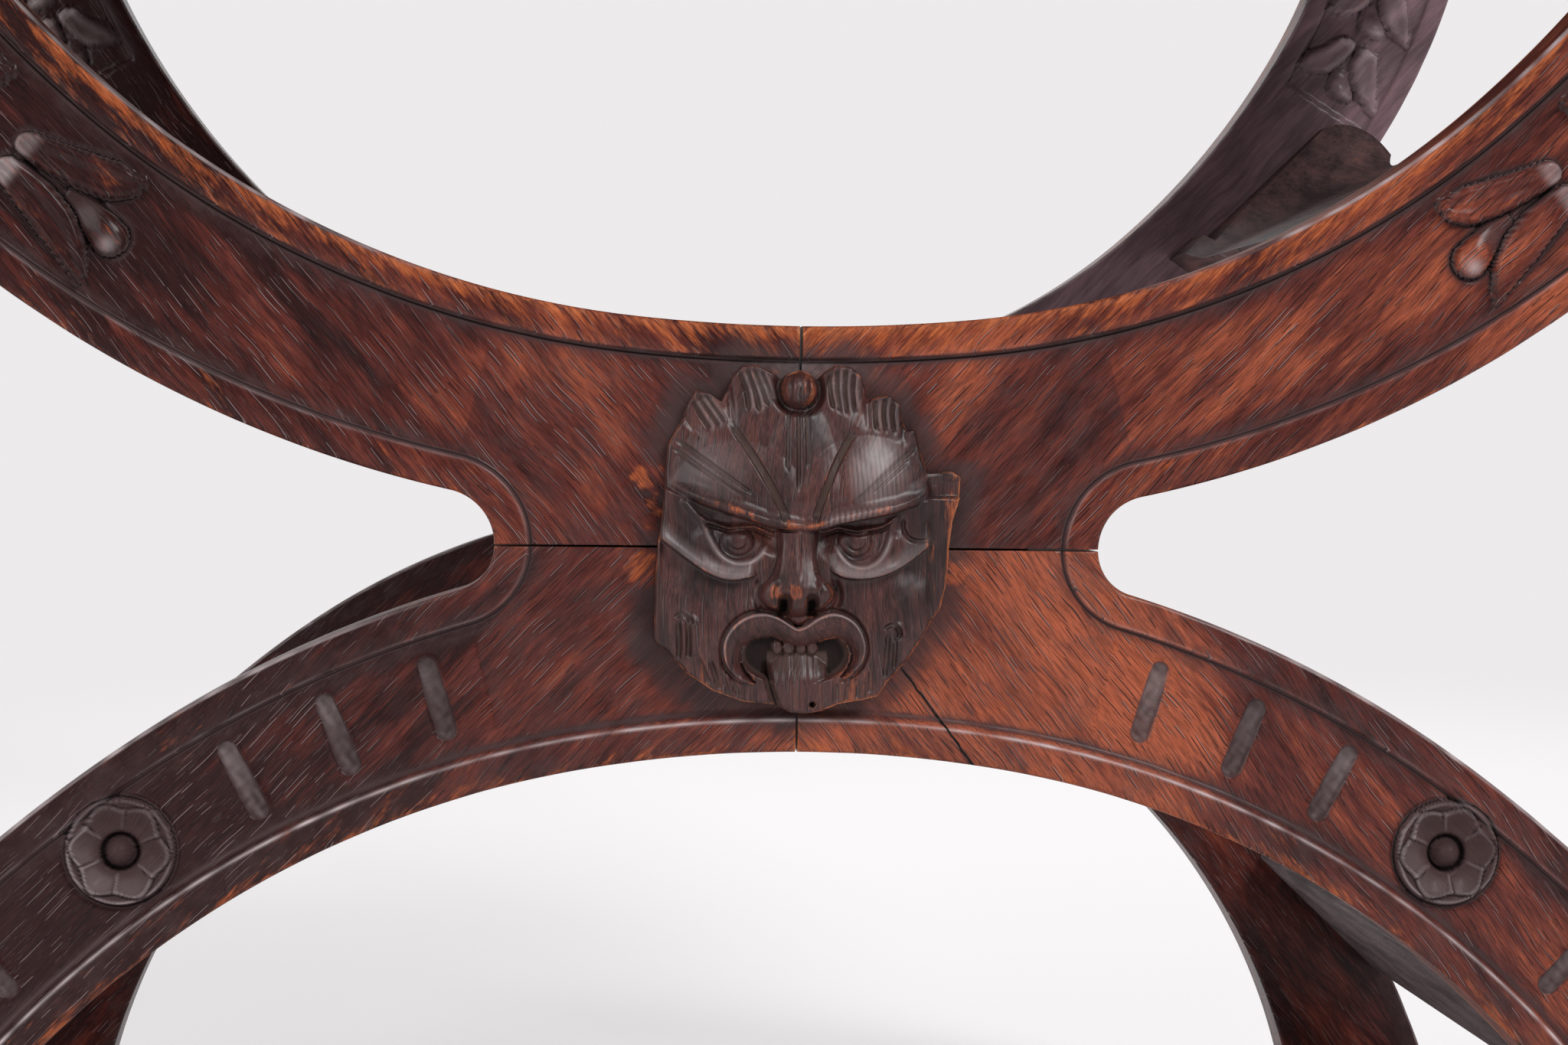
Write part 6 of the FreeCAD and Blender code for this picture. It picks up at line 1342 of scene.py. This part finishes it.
def oak_material(
    name, turn, tone=0.0, colours=None, carved=False, wear=0.36, gloss=0.0, sheen=0.05,
    coat=0.26, coat_roughness=0.24, depth=0.00022, split=False, dusty=None,
):
    """Stained oak with its grain in one direction.

    A carved piece brings its own masks of wear, of grime with painted shade, and of pale dust with painted
    highlights. The tone is one value or runs from one to another across the chair. A piece with a pale cover
    has a grey film on the faces that are turned one way: dust on the side rails, a painted sheen on the right
    rear arm.
    """
    colours = dict(colours or {})
    dirt_and_shade_colour = colours.pop("Dirt", (0.062, 0.037, 0.037, 1.0))
    material = bpy.data.materials.new(name)
    material.use_nodes = True
    tree = material.node_tree
    tree.nodes.clear()
    place, along = grain_vector(tree, turn)
    grain = use_group(tree, GRAIN, {"Vector": along})
    if isinstance(tone, tuple):
        parts = add(tree, "ShaderNodeSeparateXYZ", {0: place}).outputs
        tone = remap(tree, parts["X"], *tone)
    if carved:
        edge = add(tree, "ShaderNodeAttribute", attribute_name="wear").outputs["Fac"]
        recess = add(tree, "ShaderNodeAttribute", attribute_name="grime_and_shade").outputs["Fac"]
    else:
        masks = use_group(tree, SHAPE_MASKS, {})
        edge, recess = masks["Edge"], masks["Recess"]
    stain_inputs = {key: grain[key] for key in ("Figure", "Clouds", "Pores", "Lips", "Fibre")}
    # Painted shade: the stain darkens where the recess mask is high
    stain_inputs["Tone"] = maths(tree, "ADD", maths(tree, "MULTIPLY", recess, -0.17), tone)
    stain_inputs.update(colours)
    stain = use_group(tree, STAIN, stain_inputs)
    rubbed = use_group(tree, RUBBED, {"Vector": along, "Edge": edge, "Reach": wear})["Mask"]
    dirt_and_shade = use_group(tree, DIRT_AND_SHADE, {"Vector": place, "Recess": recess})["Mask"]
    fibre = remap(tree, grain["Fibre"], 0.3, 0.7)
    bare = mix(tree, fibre, (0.24, 0.048, 0.015, 1.0), (0.50, 0.130, 0.040, 1.0))
    pale = mix(tree, fibre, (0.40, 0.115, 0.040, 1.0), (0.72, 0.30, 0.14, 1.0))
    bare = mix(tree, remap(tree, edge, 0.62, 1.0), bare, pale)
    colour = mix(tree, maths(tree, "MULTIPLY", rubbed, 0.85), stain["Color"], bare)
    # Dirt and painted shade where the recess mask is high
    colour = mix(tree, maths(tree, "MULTIPLY", dirt_and_shade, 0.85), colour, dirt_and_shade_colour)
    if dusty:
        # A grey film on faces turned one way: dust on the side rails, a painted sheen on the right rear arm
        way, amount, tint = dusty
        covered = maths(tree, "MULTIPLY", use_group(tree, TURNED, {"Vector": place})[way], amount)
        pale_tint = tuple(2.3 * value for value in tint[:3]) + (1.0,)
        film = mix(tree, remap(tree, grain["Figure"], 0.38, 0.60), tint, pale_tint)
        colour = mix(tree, covered, colour, film)
    if carved:
        # Painted shade: the deepest hollows of a carved piece go near black
        colour = mix(tree, remap(tree, recess, 0.76, 0.98), colour, (0.008, 0.005, 0.005, 1.0))
        # Pale dust and painted highlights from the carving's own mask
        dust_and_highlight_mask = add(tree, "ShaderNodeAttribute", attribute_name="pale_dust").outputs["Fac"]
        patchy = remap(tree, grain["Clouds"], 0.36, 0.56, 0.45, 1.0)
        colour = mix(tree, maths(tree, "MULTIPLY", dust_and_highlight_mask, patchy), colour, (0.54, 0.45, 0.45, 1.0))
    height = stain["Height"]
    if split:
        crack = use_group(tree, SPLIT, {"Vector": place})["Mask"]
        colour = mix(tree, crack, colour, (0.004, 0.003, 0.003, 1.0))
        height = maths(tree, "SUBTRACT", height, maths(tree, "MULTIPLY", crack, 4.0))
    rough = maths(tree, "ADD", stain["Roughness"], maths(tree, "MULTIPLY", dirt_and_shade, 0.06))
    rough = maths(tree, "ADD", rough, -gloss)
    bump = add(tree, "ShaderNodeBump", {"Strength": 0.55, "Distance": depth, "Height": height}).outputs[0]
    shader = add(tree, "ShaderNodeBsdfPrincipled", {
        "Base Color": colour, "Roughness": rough, "Normal": bump, "Specular IOR Level": sheen,
        "Coat Weight": remap(tree, recess, 0.40, 0.90, coat, 0.08 * coat), "Coat Roughness": coat_roughness,
    })
    output = add(tree, "ShaderNodeOutputMaterial")
    tree.links.new(shader.outputs[0], output.inputs["Surface"])
    return material


def iron_material(name):
    """Dark oxidised iron with rust in blotches."""
    material = bpy.data.materials.new(name)
    material.use_nodes = True
    tree = material.node_tree
    tree.nodes.clear()
    place = add(tree, "ShaderNodeTexCoord").outputs["Object"]
    blotch = noise(tree, place, 700.0, 5.0, 0.65)
    colour = mix(tree, remap(tree, blotch, 0.42, 0.62), (0.045, 0.042, 0.040, 1.0), (0.12, 0.055, 0.028, 1.0))
    rough = remap(tree, blotch, 0.3, 0.7, 0.42, 0.75)
    bump = add(tree, "ShaderNodeBump", {"Strength": 0.4, "Distance": 0.0002, "Height": blotch}).outputs[0]
    shader = add(tree, "ShaderNodeBsdfPrincipled", {
        "Base Color": colour, "Roughness": rough, "Normal": bump, "Metallic": 0.85,
    })
    output = add(tree, "ShaderNodeOutputMaterial")
    tree.links.new(shader.outputs[0], output.inputs["Surface"])
    return material


# Each quadrant's board was sawn with its grain along the limb's chord
LIMB_GRAIN = {("arm", "left"): -50.0, ("arm", "right"): 46.0, ("leg", "left"): 46.0, ("leg", "right"): -52.0}
# Tone of each front quadrant; the left arm and both legs darken towards their outer ends, on the left arm as
# painted shade
LIMB_TONE = {
    ("arm", "left"): (-0.19, -0.04, -0.10, 0.01), ("arm", "right"): 0.055,
    ("leg", "left"): (-0.16, -0.05, -0.26, 0.05), ("leg", "right"): (0.07, 0.13, 0.18, 0.02),
}
LIMB_OAK = {
    key: oak_material(
        f"limb_oak_{key[0]}_{key[1]}", (0.0, LIMB_GRAIN[key], 0.0), LIMB_TONE[key],
        carved=True, split=key == ("leg", "right"),
    )
    for key in LIMB_GRAIN
}
# Tones of the rear quadrants: the left rear arm darkened as painted shade, the right one lightened as painted
# light
REAR_TONE = {("arm", "left"): -0.13, ("arm", "right"): 0.03, ("leg", "left"): -0.08, ("leg", "right"): -0.03}
# A pale film on the right rear arm's front-facing faces, a painted sheen
PAINTED_SHEEN_FILM = ("Front", 0.85, (0.100, 0.067, 0.077, 1.0))
REAR_OAK = {
    key: oak_material(
        f"rear_oak_{key[0]}_{key[1]}", (0.0, LIMB_GRAIN[key], 0.0), REAR_TONE[key],
        carved=True, wear=0.05, dusty=PAINTED_SHEEN_FILM if key == ("arm", "right") else None,
    )
    for key in LIMB_GRAIN
}
PLAIN = {
    "x": oak_material("plain_oak_across", (0.0, 0.0, 0.0), -0.02),
    "y": oak_material("plain_oak_deep", (0.0, 0.0, 90.0), -0.02),
    "z": oak_material("plain_oak_upright", (0.0, 90.0, 0.0), -0.02),
}
RAIL_DUST = (0.085, 0.070, 0.072, 1.0)
LOWER_RAIL_OAK = oak_material(
    "plain_oak_dusty", (0.0, 0.0, 90.0), -0.02,
    wear=0.2, gloss=-0.12, coat=0.03, dusty=("Inward", 0.9, RAIL_DUST),
)
UPPER_RAIL_OAK = oak_material(
    "plain_oak_shaded", (0.0, 0.0, 90.0), -0.03,
    wear=0.0, gloss=-0.14, coat=0.03, dusty=("Inward", 0.45, RAIL_DUST),
)
DOWEL = oak_material("dowel_wood", (0.0, 0.0, 0.0), 0.08)
IRON = iron_material("screw_iron")

for row in ("front", "rear"):
    for level in ("arm", "leg"):
        for side in SIDES:
            piece = make_limb(row, level, side)
            oak = (LIMB_OAK if row == "front" else REAR_OAK)[(level, side)]
            piece.data.materials.append(oak)
            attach(piece, "frame")
            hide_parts(f"{row}_{level}_limb_{side}")

BLACKENED = {
    "Dark": (0.017, 0.0068, 0.0066, 1.0), "Red": (0.064, 0.023, 0.021, 1.0),
    "Amber": (0.155, 0.050, 0.030, 1.0), "Pore Dust And Glint": (0.120, 0.085, 0.082, 1.0),
    "Dirt": (0.070, 0.041, 0.034, 1.0),
}
mask = make_mask()
mask.data.materials.append(oak_material(
    "blackened_oak", (0.0, 90.0, 0.0), -0.02, BLACKENED,
    carved=True, sheen=0.08, coat=0.55, coat_roughness=0.36, depth=0.00007,
))
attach(mask, "frame")
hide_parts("mask")

# Direction of the grain in the boards that keep the frame's own shapes
GRAIN_OF = {
    "back_stile": "z", "mask": "z", "crossing_block": "x", "seat_rail": "x", "back_bottom_rail": "x",
    "back_crest_rail": "x", "back_panel": "x", "seat_board": "x",
}


def grain_of(node):
    for start, axis in GRAIN_OF.items():
        if node.startswith(start):
            return axis
    return "y"


for node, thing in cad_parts.items():
    if "screw" in node:
        chosen = IRON
    elif any(word in node for word in ("dowel", "peg", "pin", "glide")):
        chosen = DOWEL
    elif node.startswith("lower_side_rail"):
        chosen = LOWER_RAIL_OAK
    elif node.startswith("upper_side_rail"):
        chosen = UPPER_RAIL_OAK
    else:
        chosen = PLAIN[grain_of(node)]
    thing.data.materials.clear()
    thing.data.materials.append(chosen)


# Floor, light and camera

FLOOR_REACH = 14.0
BACKGROUND = (0.845, 0.825, 0.838, 1.0)


def make_floor():
    """A wide pale floor that fades into the pale surroundings."""
    corners = [(FLOOR_REACH * a, FLOOR_REACH * b, 0.0) for a, b in ((-1, -1), (1, -1), (1, 1), (-1, 1))]
    mesh = bpy.data.meshes.new("studio_floor")
    mesh.from_pydata(corners, [], [(0, 1, 2, 3)])
    floor = bpy.data.objects.new("studio_floor", mesh)
    bpy.context.scene.collection.objects.link(floor)
    material = bpy.data.materials.new("pale_floor")
    material.use_nodes = True
    tree = material.node_tree
    tree.nodes.clear()
    place = add(tree, "ShaderNodeTexCoord").outputs["Object"]
    far = add(tree, "ShaderNodeVectorMath", {0: place}, operation="LENGTH").outputs["Value"]
    fade = remap(tree, far, 0.9, 3.0)
    plain = add(tree, "ShaderNodeBsdfPrincipled", {"Base Color": (0.86, 0.845, 0.85, 1.0), "Roughness": 0.9})
    glow = add(tree, "ShaderNodeEmission", {"Color": BACKGROUND, "Strength": 1.0})
    blend = add(tree, "ShaderNodeMixShader", {0: fade, 1: plain.outputs[0], 2: glow.outputs[0]})
    output = add(tree, "ShaderNodeOutputMaterial")
    tree.links.new(blend.outputs[0], output.inputs["Surface"])
    mesh.materials.append(material)


def make_world():
    """Pale surroundings for the camera, and a studio that is bright behind the chair to light it."""
    world = bpy.data.worlds.new("studio")
    bpy.context.scene.world = world
    world.use_nodes = True
    tree = world.node_tree
    tree.nodes.clear()
    direction = add(tree, "ShaderNodeTexCoord").outputs["Generated"]
    parts = add(tree, "ShaderNodeSeparateXYZ", {0: direction}).outputs
    behind = remap(tree, parts["Y"], -0.1, 0.8, 0.18, 0.80)
    above = remap(tree, parts["Z"], 0.1, 0.9, 0.0, 0.35)
    level = maths(tree, "ADD", behind, above)
    studio = add(tree, "ShaderNodeBackground", {"Color": (1.0, 0.99, 1.0, 1.0), "Strength": level})
    shown = add(tree, "ShaderNodeBackground", {"Color": BACKGROUND, "Strength": 1.0})
    ray = add(tree, "ShaderNodeLightPath").outputs["Is Camera Ray"]
    blend = add(tree, "ShaderNodeMixShader", {0: ray, 1: studio.outputs[0], 2: shown.outputs[0]})
    output = add(tree, "ShaderNodeOutputWorld")
    tree.links.new(blend.outputs[0], output.inputs["Surface"])


def softbox(name, place, target, size, power):
    light = bpy.data.lights.new(name, "AREA")
    light.shape = "RECTANGLE"
    light.size, light.size_y = size
    light.energy = power
    lamp = bpy.data.objects.new(name, light)
    lamp.location = place
    lamp.rotation_euler = (Vector(target) - Vector(place)).to_track_quat("-Z", "Y").to_euler()
    bpy.context.scene.collection.objects.link(lamp)


make_floor()
make_world()
AIM = (0.0, 0.0, CROSSING + 0.15)
softbox("key_softbox", (1.3, -2.1, 2.1), AIM, (0.9, 0.9), 48.0)
softbox("fill_softbox", (-1.9, -1.8, 1.2), AIM, (1.6, 1.6), 26.0)
softbox("rear_softbox", (0.6, 2.4, 2.2), AIM, (1.8, 1.8), 30.0)

# Camera, as the photograph was taken
YAW, PITCH, ROLL = 0.0722698657, -0.0290562335, 0.0118242588
LENS = 63.19
SENSOR_WIDTH = 36.0
STAND_BACK = 0.62909
CAMERA_RISE = 0.02418
CAMERA_SIDE = -0.04905
ahead = Vector((sin(YAW) * cos(PITCH), cos(YAW) * cos(PITCH), sin(PITCH)))
level_right = Vector((cos(YAW), -sin(YAW), 0.0))
level_up = level_right.cross(ahead)
right = level_right * cos(ROLL) + level_up * sin(ROLL)
top = level_up * cos(ROLL) - level_right * sin(ROLL)
camera_data = bpy.data.cameras.new("camera")
camera_data.lens = LENS
camera_data.sensor_width = SENSOR_WIDTH
camera_data.clip_start = 0.01
camera = bpy.data.objects.new("camera", camera_data)
turn = Matrix((right, top, -ahead)).transposed().to_4x4()
place = Matrix.Translation((CAMERA_SIDE, FRONT_FACE - STAND_BACK, CROSSING + CAMERA_RISE))
camera.matrix_world = place @ turn
bpy.context.scene.collection.objects.link(camera)
bpy.context.scene.camera = camera
bpy.context.scene.view_settings.view_transform = "Standard"
